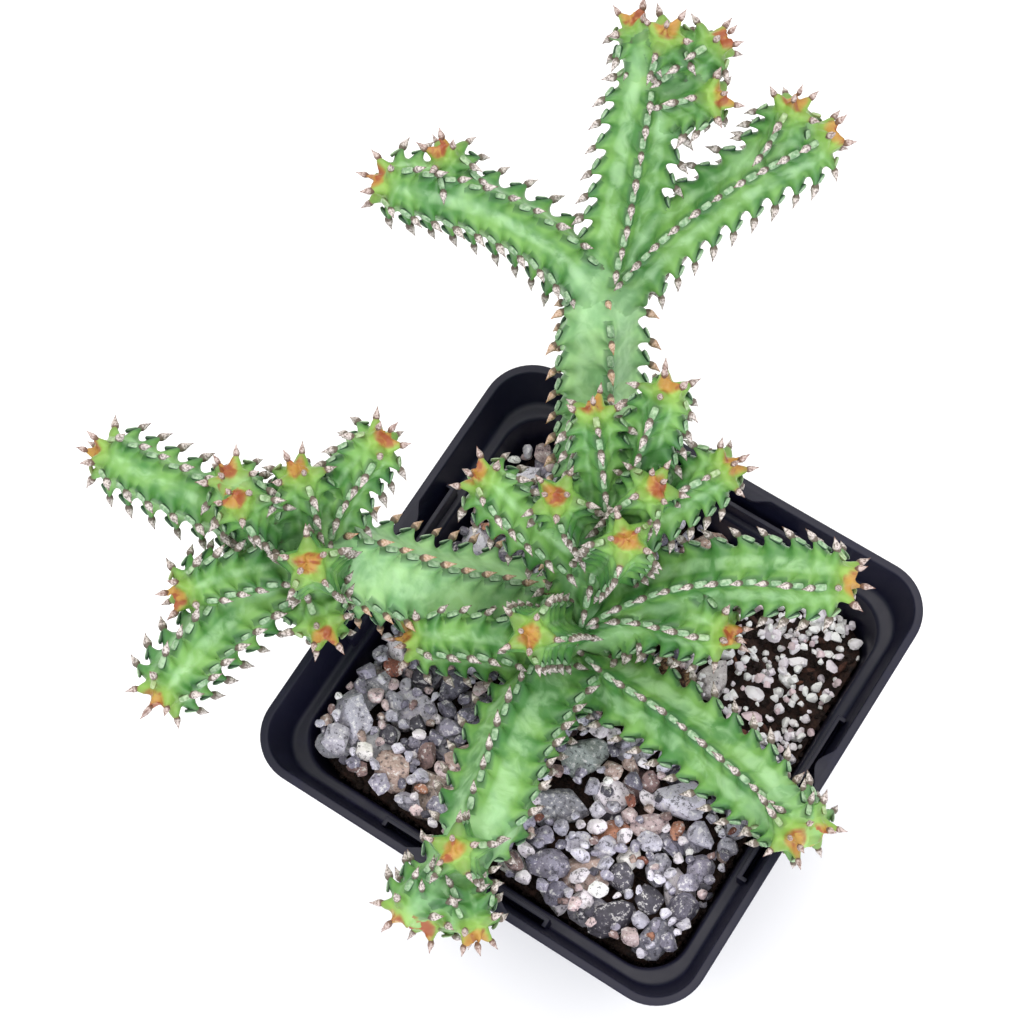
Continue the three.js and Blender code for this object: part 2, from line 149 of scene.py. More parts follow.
# %% Making a mesh, and making one plain
def mesh_object(name, points_mm, faces=(), edges=(), values=None):
    mesh = bpy.data.meshes.new(name)
    mesh.from_pydata((np.asarray(points_mm) * MM).tolist(), edges, faces)
    for key, data in (values or {}).items():
        data = np.asarray(data)
        if data.ndim == 2:
            kind, field = "FLOAT_VECTOR", "vector"
        elif data.dtype.kind == "i":
            kind, field = "INT", "value"
        else:
            kind, field = "FLOAT", "value"
        layer = mesh.attributes.new(key, kind, "POINT")
        layer.data.foreach_set(field, data.ravel())
    made = bpy.data.objects.new(name, mesh)
    bpy.context.scene.collection.objects.link(made)
    return made


def plain_mesh(source, name):
    """Replaces an object and its live modifiers by the mesh they give."""
    graph = bpy.context.evaluated_depsgraph_get()
    mesh = bpy.data.meshes.new_from_object(source.evaluated_get(graph))
    mesh.name = name
    old = source.data
    source.modifiers.clear()
    source.data = mesh
    source.name = name
    if old.users == 0:
        bpy.data.meshes.remove(old)
    return source


def outward(piece):
    """Turns every face of a closed mesh outwards."""
    work = bmesh.new()
    work.from_mesh(piece.data)
    bmesh.ops.remove_doubles(work, verts=work.verts, dist=1e-7)
    bmesh.ops.recalc_face_normals(work, faces=work.faces)
    work.to_mesh(piece.data)
    work.free()

# %% Finishing a piece, and starting a material
def settle(piece, finish, slot, *nodes):
    """A finished piece: its material, its body, and the CAD nodes it stands for. The slot is not
    used.
    """
    piece.data.materials.clear()
    piece.data.materials.append(finish)
    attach(piece, "root")
    if nodes:
        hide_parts(*nodes)
    print(f"{piece.name}: {len(piece.data.polygons)} faces")


def material(name):
    """A new material with its own tree and one shader, wired to the output."""
    made = bpy.data.materials.new(name)
    made.use_nodes = True
    tree = made.node_tree
    tree.nodes.clear()
    shader = add(tree, "ShaderNodeBsdfPrincipled")
    add(tree, "ShaderNodeOutputMaterial", inputs={"Surface": shader})
    return made, tree, shader

# %% [markdown]
# ## The view and the light
# The camera looks down from above and a little to one side, with a short telephoto lens. It
# is an object whose local X points right and local Z points back, so it can be set by writing
# those directions as the columns of its matrix. The studio is all soft light: a bright even
# world, and two large area lamps that give the waxy stems a gentle highlight from one side.

# %% Camera
LENS = 90.9
CAMERA_PLACE = Vector((88.946, -102.764, 578.15))
camera_data = bpy.data.cameras.new("studio_camera")
camera_data.lens = LENS
camera_data.sensor_width = 36
camera_data.clip_start = 0.05
camera = bpy.data.objects.new("studio_camera", camera_data)
bpy.context.scene.collection.objects.link(camera)
view_right = Vector((0.83684401, 0.54296097, -0.06989622))
view_up = Vector((-0.49579543, 0.80582898, 0.32376927))
turn = Matrix((view_right, view_up, view_right.cross(view_up))).transposed()
camera.matrix_world = Matrix.Translation(CAMERA_PLACE * MM) @ turn.to_4x4()
bpy.context.scene.camera = camera
bpy.context.scene.view_settings.view_transform = "Standard"
print("camera:", round(CAMERA_PLACE.length), "mm from the pot's foot, lens", LENS, "mm")

# %% Lamps and world
def softbox(name, watts, size, place, aim, colour):
    lamp = bpy.data.lights.new(name, "AREA")
    lamp.shape = "DISK"
    lamp.size = size
    lamp.energy = watts
    lamp.color = linear(colour)[:3]
    made = bpy.data.objects.new(name, lamp)
    bpy.context.scene.collection.objects.link(made)
    made.location = place
    made.rotation_euler = (Vector(aim) - Vector(place)).to_track_quat("-Z", "Y").to_euler()


softbox("key_softbox", watts=8, size=1.1, place=(-0.15, 0.15, 1.0), aim=(0, 0, 0.08),
        colour="#fffaf4")
softbox("fill_softbox", watts=6, size=0.9, place=(0.6, -0.6, 0.5), aim=(0.1, -0.15, 0),
        colour="#f4f6ff")

world = bpy.data.worlds.new("studio_air")
world.use_nodes = True
world.node_tree.nodes.clear()
air = add(world.node_tree, "ShaderNodeBackground",
          inputs={"Color": linear("#fbfcff"), "Strength": 1.0})
add(world.node_tree, "ShaderNodeOutputWorld", inputs={"Surface": air})
bpy.context.scene.world = world

# %% Floor
FLOOR_REACH = 2000
floor_corners = [(FLOOR_REACH * x, FLOOR_REACH * y, 0)
                 for x, y in ((-1, -1), (1, -1), (1, 1), (-1, 1))]
floor = mesh_object("studio_floor", floor_corners, faces=[(0, 1, 2, 3)])
paper, paper_tree, paper_shader = material("matt_paper_sweep")
wire(paper_tree, paper_shader, {"Base Color": linear("#f7f7f7"), "Roughness": 0.9})
floor.data.materials.append(paper)
floor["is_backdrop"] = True

# %% [markdown]
# ## The nursery pot
# It is one polypropylene moulding, so it is one closed mesh: a square with rounded corners,
# lofted up the outside of a profile and down the inside. Each profile corner has a small radius,
# as a mould has, because a moulding without them catches no light along its edges. The tabs,
# rails and ribs inside the rim are separate little prisms joined on with a Boolean.

# %% The pot's sizes
RIM_HALF = 50
POT_HEIGHT = 90
LIP = 1.8
BAND_DRAFT = 2.4
LEDGE = 2.5
LEDGE_LEVEL = 81
WALL = 1.2
FLOOR = 1.6
RIM_CORNER = 10.5
WALL_HALF = RIM_HALF - LIP - BAND_DRAFT - LEDGE
WALL_CORNER = RIM_CORNER - LIP
BASE_HALF = 34
BASE_CORNER = 8
FOOT_RING = 3  # flat rings that close the pot's underside and its floor
FLOOR_RING = 4
CORNER_STEPS = 14

# %% Rings, small curves and lofts
def square_ring(half, corner, height):
    """A square with rounded corners, seen from above, as an array of points."""
    ring = []
    for quarter in range(4):
        middle = (quarter + 0.5) * math.pi / 2
        centre = (half - corner) * math.sqrt(2)
        for step in range(CORNER_STEPS + 1):
            angle = (quarter + step / CORNER_STEPS) * math.pi / 2
            ring.append((math.cos(middle) * centre + math.cos(angle) * corner,
                         math.sin(middle) * centre + math.sin(angle) * corner, height))
    return np.array(ring)


def rounded_path(stations, radii, steps=4):
    """Replaces each inner station of a path by a small curve of about the given radius."""
    path = [np.array(stations[0], float)]
    for before, here, after, radius in zip(stations, stations[1:], stations[2:], radii):
        before, here, after = (np.array(p, float) for p in (before, here, after))
        reach_in = min(radius, np.linalg.norm(before - here) * 0.45)
        reach_out = min(radius, np.linalg.norm(after - here) * 0.45)
        start = here + (before - here) / np.linalg.norm(before - here) * reach_in
        end = here + (after - here) / np.linalg.norm(after - here) * reach_out
        for t in np.linspace(0, 1, steps + 1):
            path.append(start * (1 - t) ** 2 + here * 2 * t * (1 - t) + end * t * t)
    path.append(np.array(stations[-1], float))
    return path


def loft(rings, start, end):
    """Points and faces of a closed skin through equal rings, with a fan at each end."""
    around = len(rings[0])
    points = np.vstack([*rings, [start], [end]])
    faces = []
    for i in range(len(rings) - 1):
        for k in range(around):
            a, b = i * around + k, i * around + (k + 1) % around
            faces.append((a, b, b + around, a + around))
    last = (len(rings) - 1) * around
    for k in range(around):
        faces.append((len(points) - 2, (k + 1) % around, k))
        faces.append((len(points) - 1, last + k, last + (k + 1) % around))
    return points, faces

# %% The pot's profile, and its loft
stations = [
    (BASE_HALF - FOOT_RING, BASE_CORNER, 0),
    (BASE_HALF, BASE_CORNER, 0),
    (WALL_HALF + WALL, WALL_CORNER + WALL, LEDGE_LEVEL - WALL),
    (RIM_HALF - BAND_DRAFT, RIM_CORNER, LEDGE_LEVEL - WALL),
    (RIM_HALF, RIM_CORNER, POT_HEIGHT),
    (RIM_HALF - LIP, RIM_CORNER - LIP, POT_HEIGHT),
    (RIM_HALF - BAND_DRAFT - LIP, RIM_CORNER - LIP, LEDGE_LEVEL),
    (WALL_HALF, WALL_CORNER, LEDGE_LEVEL),
    (BASE_HALF - WALL, BASE_CORNER - WALL, FLOOR),
    (BASE_HALF - WALL - FLOOR_RING, BASE_CORNER - WALL, FLOOR),
]
mould_radii = [1.0, 0.8, 0.4, 0.55, 0.5, 0.9, 0.8, 1.0]
profile = rounded_path(stations, mould_radii)
rings = [square_ring(*station) for station in profile]
pot = mesh_object("nursery_pot_moulding", *loft(rings, (0, 0, 0), (0, 0, FLOOR)))
outward(pot)
print("pot profile:", len(profile), "rings")

# %% Tabs, rails and ribs
POCKET_HALF = 18.5
POCKET_DEPTH = 4.4
RAIL_THICK = 0.9
RAIL_MIDDLE = RIM_HALF - POCKET_DEPTH - RAIL_THICK / 2
RAIL_TOP = LEDGE_LEVEL + 5
SOFT_EDGE = 0.16
TAB_OFFSET = 7.6
TAB_LENGTH = 10
TAB_REACH = 3.6
TAB_THICK = 1


def prism(outline, low, high, name):
    """A flat outline pulled up from one height to another, with its edges softened."""
    count = len(outline)
    points = [(x, y, low) for x, y in outline] + [(x, y, high) for x, y in outline]
    sides = [(k, (k + 1) % count, count + (k + 1) % count, count + k) for k in range(count)]
    faces = [tuple(reversed(range(count))), tuple(range(count, 2 * count)), *sides]
    made = mesh_object(name, points, faces)
    outward(made)
    work = bmesh.new()
    work.from_mesh(made.data)
    sharp = [e for e in work.edges if e.calc_face_angle(0) > 0.6]
    bmesh.ops.bevel(work, geom=sharp, offset=SOFT_EDGE * MM, segments=2, profile=0.5,
                    affect="EDGES")
    work.to_mesh(made.data)
    work.free()
    return made


def tab_outline(middle):
    """A lip that widens in one smooth wave and comes back."""
    inner_edge = []
    for t in np.linspace(-1, 1, 15):
        wave = 0.5 + 0.5 * math.cos(t * math.pi)
        inner_edge.append((middle + t * TAB_LENGTH / 2,
                           RIM_HALF - LIP + 0.25 - (TAB_REACH - LIP + 0.25) * wave))
    outer_edge = RIM_HALF - LIP / 2
    return [(middle + TAB_LENGTH / 2, outer_edge), (middle - TAB_LENGTH / 2, outer_edge),
            *inner_edge]


fittings = []
for quarter in range(4):
    parts = []
    for side in (-1, 1):
        tab = tab_outline(side * TAB_OFFSET)
        parts.append(prism(tab, POT_HEIGHT - TAB_THICK, POT_HEIGHT - 0.02, "tab"))
        rib = side * POCKET_HALF
        lean = BAND_DRAFT + LIP / 2
        low_rib = [(rib - RAIL_THICK / 2, RAIL_MIDDLE), (rib + RAIL_THICK / 2, RAIL_MIDDLE),
                   (rib + RAIL_THICK / 2, RIM_HALF - lean),
                   (rib - RAIL_THICK / 2, RIM_HALF - lean)]
        parts.append(prism(low_rib, LEDGE_LEVEL - WALL / 2, RAIL_TOP, "rib"))
    rail = [(-POCKET_HALF - RAIL_THICK / 2, RAIL_MIDDLE - RAIL_THICK / 2),
            (POCKET_HALF + RAIL_THICK / 2, RAIL_MIDDLE - RAIL_THICK / 2),
            (POCKET_HALF + RAIL_THICK / 2, RAIL_MIDDLE + RAIL_THICK / 2),
            (-POCKET_HALF - RAIL_THICK / 2, RAIL_MIDDLE + RAIL_THICK / 2)]
    parts.append(prism(rail, LEDGE_LEVEL - WALL / 2, RAIL_TOP, "rail"))
    for part in parts:
        part.data.transform(Matrix.Rotation(quarter * math.pi / 2, 4, "Z"))
    fittings += parts
print("fittings:", len(fittings))

# %% Joining the fittings and drilling the drain holes
DRAIN_BORE = 7
DRAIN_INSET = 13
drills = []
for x in (-1, 1):
    for y in (-1, 1):
        middle = (BASE_HALF - DRAIN_INSET) * np.array((x, y))
        turn_points = np.linspace(0, 2 * math.pi, 32, endpoint=False)
        outline = [tuple(middle + DRAIN_BORE / 2 * np.array((math.cos(a), math.sin(a))))
                   for a in turn_points]
        drills.append(prism(outline, -5, 8, "drill"))


def combine(piece, others, operation):
    """Joins other closed meshes to a piece, or cuts them out of it, and deletes them."""
    group = bpy.data.collections.new("combine")
    for other in others:
        bpy.context.scene.collection.objects.unlink(other)
        group.objects.link(other)
    bpy.context.scene.collection.children.link(group)
    cut = piece.modifiers.new("combine", "BOOLEAN")
    cut.operation = operation
    cut.solver = "EXACT"
    cut.operand_type = "COLLECTION"
    cut.collection = group
    plain_mesh(piece, piece.name)
    for other in others:
        bpy.data.objects.remove(other)
    bpy.data.collections.remove(group)


combine(pot, fittings, "UNION")
combine(pot, drills, "DIFFERENCE")
pot.data.shade_smooth()
pot.data.set_sharp_from_angle(angle=math.radians(38))
print("pot faces:", len(pot.data.polygons))

# %% [markdown]
# ## The pot's finish: moulded polypropylene
# Nursery pots are recycled polypropylene with carbon black, moulded against a lightly blasted
# tool. To the eye that is near-black with a blue cast, satin rather than gloss, with a fine grain
# that breaks up the highlight and a little dust and lime where water has dried.

# %% Moulded polypropylene
moulded_pp, tree, shader = material("moulded_polypropylene_black")
place = add(tree, "ShaderNodeTexCoord").outputs["Object"]
dust = add(tree, NOISE, inputs={"Vector": place, "Scale": 90.0, "Detail": 6.0,
                                "Roughness": 0.7})
dust_share = add(tree, RANGE, inputs={"Value": dust.outputs["Fac"], "From Min": 0.55,
                                      "From Max": 0.85, "To Max": 0.16})
plastic = add(tree, MIX, {"data_type": "RGBA"},
              {"Factor": dust_share, 6: linear("#0d0d22"), 7: linear("#3c3c66")})
grain = add(tree, NOISE, inputs={"Vector": place, "Scale": 2600.0, "Detail": 2.0})
grain_bump = add(tree, "ShaderNodeBump", inputs={"Strength": 0.12, "Distance": 0.00006,
                                                 "Height": grain.outputs["Fac"]})
rough = add(tree, RANGE, inputs={"Value": dust.outputs["Fac"], "From Min": 0.3,
                                 "From Max": 0.8, "To Min": 0.42, "To Max": 0.6})
wire(tree, shader, {"Base Color": plastic.outputs[2], "Roughness": rough, "Normal": grain_bump,
                    "IOR": 1.49, "Specular IOR Level": 0.32})
settle(pot, moulded_pp, "pot_plastic", "nursery_pot")

# %% [markdown]
# ## Where things stand in the pot
# The gravel's surface lies 14 mm under the rim and falls away gently. In one corner the
# dressing is missing and the potting mix shows. These few rules are shared by the mix, the
# gravel and everything that is scattered on them.

# %% The bed's levels
SOIL_LEVEL = POT_HEIGHT - 14
GRAVEL_DEPTH = 7
BARE_MIDDLE = np.array((31, 24))
BARE_RADIUS = 17
BARE_DROP = 3
ROOM_HALF = WALL_HALF - 0.3


def surface_rise(x, y):
    return -0.1 * y - 0.02 * x


def bare_share(x, y):
    away = np.hypot(x - BARE_MIDDLE[0], y - BARE_MIDDLE[1]) / BARE_RADIUS
    return np.clip((1.25 - away) / 0.35, 0, 1)


def wall_half(z):
    return BASE_HALF - WALL + (WALL_HALF - BASE_HALF + WALL) * (z - FLOOR) / (LEDGE_LEVEL - FLOOR)


def inside_room(x, y, margin):
    """True where a point lies inside the rounded square room, at least a margin from its wall."""
    half, corner = ROOM_HALF - margin, max(WALL_CORNER - margin, 0.5)
    ax, ay = np.abs(x), np.abs(y)
    outside = np.hypot(np.maximum(ax - half + corner, 0), np.maximum(ay - half + corner, 0))
    return (ax < half) & (ay < half) & (outside < corner)


def lumps(points, size, seed):
    """Smooth repeatable bumps from -1 to 1: a few sine waves in scattered directions."""
    made = np.random.default_rng(seed)
    total = np.zeros(len(points))
    for octave in range(3):
        for _ in range(5):
            direction = made.normal(size=points.shape[1])
            direction /= np.linalg.norm(direction)
            wave = 2 * math.pi * 1.7 ** octave / size
            total += np.sin(points @ direction * wave + made.uniform(0, 6.28)) / 1.6 ** octave
    return total / 6

# %% [markdown]
# ## The potting mix
# Under the gravel is a block of damp peat and bark with perlite in it. Only its top shows, so
# the top is a fine grid that is pushed up and down by layered waves, and the sides are a plain
# skin down to the pot's floor. Crumbs, bark and perlite are scattered on it further on.

# %% Potting mix
MIX_GAP = 0.3
MIX_STEP = 0.45
MIX_TOP_EDGE = 66


def mix_height(x, y, lumpiness=1):
    """The mix's top: low under the gravel, higher in the bare corner, and lumpy."""
    flat = np.stack([np.ravel(x), np.ravel(y)], 1)
    fine = (lumps(flat, 9, 5) * 1.1 + lumps(flat, 2.6, 6) * 0.55).reshape(np.shape(x))
    level = SOIL_LEVEL - GRAVEL_DEPTH + (GRAVEL_DEPTH - BARE_DROP) * bare_share(x, y)
    return level + surface_rise(x, y) + fine * lumpiness


levels = [square_ring(wall_half(z) - MIX_GAP, WALL_CORNER - 1, z)
          for z in (FLOOR + MIX_GAP, 20, 45, 62)]
for share in np.linspace(1, 0.012, int(ROOM_HALF / MIX_STEP)):
    ring = square_ring((wall_half(MIX_TOP_EDGE) - MIX_GAP) * share, (WALL_CORNER - 1) * share, 0)
    ring[:, 2] = mix_height(ring[:, 0], ring[:, 1], min(1, (1 - share) * 12))
    levels.append(ring)
mix = mesh_object("potting_mix_bed", *loft(levels, (0, 0, FLOOR + MIX_GAP),
                                           (0, 0, levels[-1][:, 2].mean())))
outward(mix)
mix.data.shade_smooth()

# %% Damp peat and bark
damp_peat, tree, shader = material("damp_peat_mix")
place = add(tree, "ShaderNodeTexCoord").outputs["Object"]
patches = add(tree, NOISE, inputs={"Vector": place, "Scale": 420.0, "Detail": 7.0,
                                   "Roughness": 0.72})
peat = add(tree, "ShaderNodeValToRGB", inputs={"Fac": patches.outputs["Fac"]})
peat.color_ramp.elements[0].position = 0.35
peat.color_ramp.elements[0].color = linear("#120d0c")
peat.color_ramp.elements[1].position = 0.72
peat.color_ramp.elements[1].color = linear("#4a2f25")
crumb = add(tree, NOISE, inputs={"Vector": place, "Scale": 1300.0, "Detail": 4.0})
crumb_bump = add(tree, "ShaderNodeBump", inputs={"Strength": 0.9, "Distance": 0.0006,
                                                 "Height": crumb.outputs["Fac"]})
wire(tree, shader, {"Base Color": peat, "Roughness": 0.85, "Normal": crumb_bump})
settle(mix, damp_peat, "potting_mix", "potting_mix")

# %% [markdown]
# ## The stems: where they grow
# Every stem is a row of points for its middle line and one radius over its ridges. The same
# smooth curve runs through the points as in the CAD frame. Along it, rings are set out so that
# fifteen of them make one tooth pitch, and the pitch shortens towards the growing tip, where
# young teeth crowd into a rosette. Each point carries values that the next step reads.

# %% Radius and middle line of every stem, with heights over the bed
STEMS = {
    "north": {
        "north_stem": (7, [(-6, 6.5, 5), (-14, 21, 7), (-20.5, 33.5, 15), (-25, 43, 28),
                           (-29.5, 51.5, 41), (-33, 58, 49)]),
        "north_west_branch": (4.8, [(-31.5, 56, 46), (-44, 58, 54), (-58, 55.5, 61),
                                    (-74.5, 47.5, 69)]),
        "north_west_bud": (3.3, [(-58.5, 55.5, 61), (-63, 56.5, 66), (-67, 58, 71)]),
        "north_middle_branch": (5.6, [(-31.5, 56, 46), (-34.5, 69.5, 58), (-37, 79, 70),
                                      (-40, 89, 80)]),
        "north_middle_left_bud": (3.3, [(-39, 85.5, 77), (-42.5, 89, 83), (-45.5, 92, 87)]),
        "north_middle_right_bud": (3.3, [(-39, 86.5, 77), (-38.5, 90, 84), (-38.5, 92, 90)]),
        "north_middle_far_bud": (3.6, [(-38.5, 85, 75), (-34, 92, 81), (-30.5, 97.5, 85)]),
        "north_middle_low_bud": (3.2, [(-37.5, 81.5, 73), (-30.5, 86.5, 78), (-25.5, 89, 82)]),
        "north_east_branch": (4.8, [(-31, 56, 46), (-26, 70.5, 55), (-18.5, 83.5, 63),
                                    (-7, 98, 71)]),
        "north_east_bud": (3.4, [(-17.5, 85.5, 64), (-15, 92.5, 71), (-14.5, 97, 77)]),
    },
    "west": {
        "west_stem": (7.6, [(-7, 5.5, 5), (-23, 2.5, 13), (-34, -4.5, 23), (-45, -10, 34),
                            (-53.5, -14, 43)]),
        "west_far_branch": (4.6, [(-51.5, -13, 41), (-66, -16.5, 48), (-79, -19.5, 53),
                                  (-92.5, -21.5, 58)]),
        "west_north_branch": (3.9, [(-50, -12.5, 38), (-51.5, -6, 47), (-50.5, 1, 54),
                                    (-47.5, 7.5, 61)]),
        "west_middle_bud": (3.8, [(-52, -13, 41), (-55, -10, 52), (-57.5, -6, 61)]),
        "west_back_bud": (3.6, [(-54, -14, 43), (-62, -15.5, 52), (-68, -13.5, 62)]),
        "west_upright_branch": (3.8, [(-54, -14, 42), (-60, -15.5, 52), (-63.5, -17, 63)]),
        "west_front_upright": (3.8, [(-48.5, -13.5, 38), (-47, -18, 50), (-45.5, -20, 62)]),
        "west_side_branch": (4.2, [(-52, -13, 40), (-56, -21.5, 45), (-61, -28.5, 49),
                                   (-65, -36, 53)]),
        "west_south_branch": (5, [(-52, -13, 38), (-55.5, -27.5, 43), (-57.5, -40.5, 47),
                                  (-57.5, -54, 51)]),
        "west_south_bud": (4.1, [(-50, -13, 37), (-46.5, -20.5, 42), (-40, -27, 46)]),
    },
    "centre": {
        "crown_stem": (6.5, [(-4.5, 4.5, -5), (-6, 5.5, 8), (-7, 7, 21)]),
        "centre_stem": (5.8, [(-7, 6, 15), (-8, 13, 28), (-9.5, 20.5, 38)]),
        "centre_north_branch": (3.7, [(-9.5, 19.5, 34), (-11.5, 24, 46), (-14.5, 28, 54),
                                      (-18, 32.5, 61)]),
        "centre_north_east_branch": (3.9, [(-9, 20, 33), (-6.5, 29.5, 46), (-7, 36, 56),
                                           (-7.5, 42, 65)]),
        "centre_east_branch": (4.2, [(-8, 18, 31), (-1.5, 26.5, 42), (3.5, 33.5, 48),
                                     (8, 38.5, 53)]),
        "centre_west_branch": (4.2, [(-8, 15, 28), (-17, 12.5, 38), (-25, 12.5, 45),
                                     (-31.5, 13, 51)]),
        "centre_west_bud": (3.6, [(-9.5, 17, 32), (-14, 17, 45), (-16, 16, 55)]),
        "centre_east_bud": (3.4, [(-8, 20, 34), (-4, 24, 48), (-0.5, 26.5, 58)]),
        "centre_upright_branch": (3.8, [(-7, 14, 28), (-2.5, 15.5, 43), (0, 15.5, 56)]),
    },
    "low": {
        "east_branch": (5.4, [(-5, 6, 15), (2.5, 14.5, 27), (11.5, 22, 34), (23, 28, 40),
                              (37, 33, 45)]),
        "east_lower_branch": (4.5, [(-5, 6, 13), (4, 12, 24), (13, 14, 30), (22, 15, 35)]),
        "west_low_branch": (4.7, [(-6, 4, 11), (-12.5, -4, 19), (-22, -9.5, 24), (-31, -16, 28)]),
        "west_low_bud": (3.8, [(-6.5, 4, 16), (-8, -1.5, 32), (-7.5, -7, 46)]),
    },
    "south": {
        "south_west_stem": (7, [(-6, 3, 6), (-5, -8.5, 16), (-3.5, -22, 23), (0.5, -35, 28),
                                (2, -43.5, 32)]),
        "south_west_tip": (5, [(2, -39, 30), (2.5, -50, 33), (3.5, -61, 36)]),
        "south_west_left_bud": (3.6, [(2.5, -49, 33), (0.5, -56, 37), (-0.5, -62.5, 38)]),
        "south_west_right_bud": (3.6, [(2.5, -48, 33), (8.5, -53.5, 35), (12.5, -57.5, 36)]),
        "south_west_top_bud": (3.2, [(2.5, -43, 31), (3, -46.5, 40), (3, -48, 48)]),
        "south_east_stem": (6, [(-3, 4.5, 6), (7.5, 0.5, 14), (21, -1, 19), (36.5, -4, 23),
                                (47, -6.5, 26)]),
        "south_east_left_bud": (4, [(43, -5.5, 25), (49.5, -9, 30), (52.5, -11.5, 34)]),
        "south_east_right_bud": (4, [(43, -5.5, 25), (49.5, -6, 28), (55, -7.5, 31)]),
    },
}

# %% How old a stem is, and how its teeth are spaced
OLD_STEMS = {"crown_stem": 0.8, "west_stem": 1.0, "north_stem": 1.0}
CARRIERS = {"crown_stem", "west_stem", "north_stem", "centre_stem", "south_west_stem"}
TOOTH_PITCH = 5.1
RINGS_PER_TOOTH = 15
TIP_CROWDING = 1.5
CROWDED_LENGTH = 4
BODY_SHARE = 1.06  # the swept body over the radius of its ridges
TIP_TAPER = 1.2  # length of the rounded tip, over the radius
LEAST_SPAN = 0.62  # teeth of a thin tip are as wide as on this share of the full radius
BARE_ROOT = 4.5  # no teeth on this much of a stem at its root
YOUNG_TOOTH = 0.7  # size of the newest teeth, over that of grown ones
YOUTH_LENGTH = 1.8


def smooth_line(points, per_span=60):
    """A centripetal Catmull-Rom curve, which rounds a bend without overshooting it."""
    points = np.array(points, float)
    points = np.vstack([2 * points[0] - points[1], points, 2 * points[-1] - points[-2]])
    line = []
    for p0, p1, p2, p3 in zip(points, points[1:], points[2:], points[3:]):
        d0, d1, d2 = (math.sqrt(np.linalg.norm(b - a)) for a, b in ((p0, p1), (p1, p2), (p2, p3)))
        m1 = ((p1 - p0) / d0 - (p2 - p0) / (d0 + d1) + (p2 - p1) / d1) * d1
        m2 = ((p2 - p1) / d1 - (p3 - p1) / (d1 + d2) + (p3 - p2) / d2) * d1
        for t in np.linspace(0, 1, per_span, endpoint=False):
            line.append(p1 + m1 * t + (3 * (p2 - p1) - 2 * m1 - m2) * t ** 2
                        + (2 * (p1 - p2) + m1 + m2) * t ** 3)
    line.append(points[-2])
    return np.array(line)


def stem_rings(name, radius, points, number, own):
    """Points from root to tip with the values that each ring of the skin needs."""
    line = smooth_line([(x, y, SOIL_LEVEL + rise) for x, y, rise in points])
    along = np.concatenate([[0], np.cumsum(np.linalg.norm(np.diff(line, axis=0), axis=1))])
    length = along[-1]
    to_tip = np.linspace(0, length, 800)
    crowding = 0 if name in CARRIERS else TIP_CROWDING
    teeth = to_tip / TOOTH_PITCH + crowding * (1 - np.exp(-to_tip / CROWDED_LENGTH))
    count = int(teeth[-1] * RINGS_PER_TOOTH)
    wanted = np.arange(count, -1, -1) / RINGS_PER_TOOTH
    distance = np.interp(wanted, teeth, to_tip)
    middle = np.stack([np.interp(length - distance, along, line[:, i]) for i in range(3)], 1)
    short = 1 - np.minimum(distance / (TIP_TAPER * radius), 1)
    swell = np.sqrt(np.maximum(1 - short ** 2, 0.0004))
    root = length - distance
    size = np.clip((root - BARE_ROOT) / 2.5, 0, 1) * np.clip(YOUNG_TOOTH + distance / 9,
                                                             YOUNG_TOOTH, 1)
    size *= 0.86 + 0.14 * min(radius / 5, 1)
    # teeth stay small where a stem bends tightly, or they would fold into each other
    heading = np.gradient(middle, axis=0)
    heading /= np.linalg.norm(heading, axis=1)[:, None]
    step = np.linalg.norm(np.gradient(middle, axis=0), axis=1)
    bend = np.linalg.norm(np.gradient(heading, axis=0), axis=1) / step * radius
    size *= 1 - 0.8 * np.clip((bend - 0.4) / 0.4, 0, 1)
    age = OLD_STEMS.get(name, 0) + 0 * distance
    phase = wanted + (number * 7 % RINGS_PER_TOOTH) / RINGS_PER_TOOTH
    youth = 0 * distance if name in CARRIERS else np.exp(-(distance / YOUTH_LENGTH) ** 2)
    radius *= BODY_SHARE
    return middle, {"girth": radius * swell, "span": radius * np.maximum(swell, LEAST_SPAN),
                    "phase": phase, "size": size, "youth": youth, "age": age,
                    "own_stem": own + 0 * distance}

# %% The middle lines of each group
stem_lines = {}
skeletons = {}
number = 0
for group, stems in STEMS.items():
    points, edges, values = [], [], {}
    for own, (name, (radius, path)) in enumerate(stems.items()):
        middle, carried = stem_rings(name, radius, path, number, own)
        number += 1
        stem_lines[name] = (group, radius, middle)
        start = len(points)
        points += middle.tolist()
        edges += [(start + i, start + i + 1) for i in range(len(middle) - 1)]
        for key, data in carried.items():
            values.setdefault(key, []).append(data)
    joined = {key: np.concatenate(data) for key, data in values.items()}
    skeletons[group] = mesh_object(group + "_middle_lines", points, edges=edges, values=joined)
    print(group, len(stems), "stems,", len(points), "rings")

# %% [markdown]
# ## The stems: one rule for their skin
# A succulent like this repeats one shape: five ridges, and on each ridge a row of teeth that is
# offset from its neighbours' rows by two fifths of a pitch. That is a rule, so a Geometry Nodes
# tree makes it. Curve to Mesh sweeps a five-sector profile along the middle line. Then each
# vertex is moved by the sum of three amounts: in for the hollow between two ridges, out for the
# broad mound under a tooth, and out for the tooth's own fin. A float curve holds the fin's shape
# along the ridge: a long shelf on the side of the growing tip, and a steep hollow scallop on
# the side of the root.

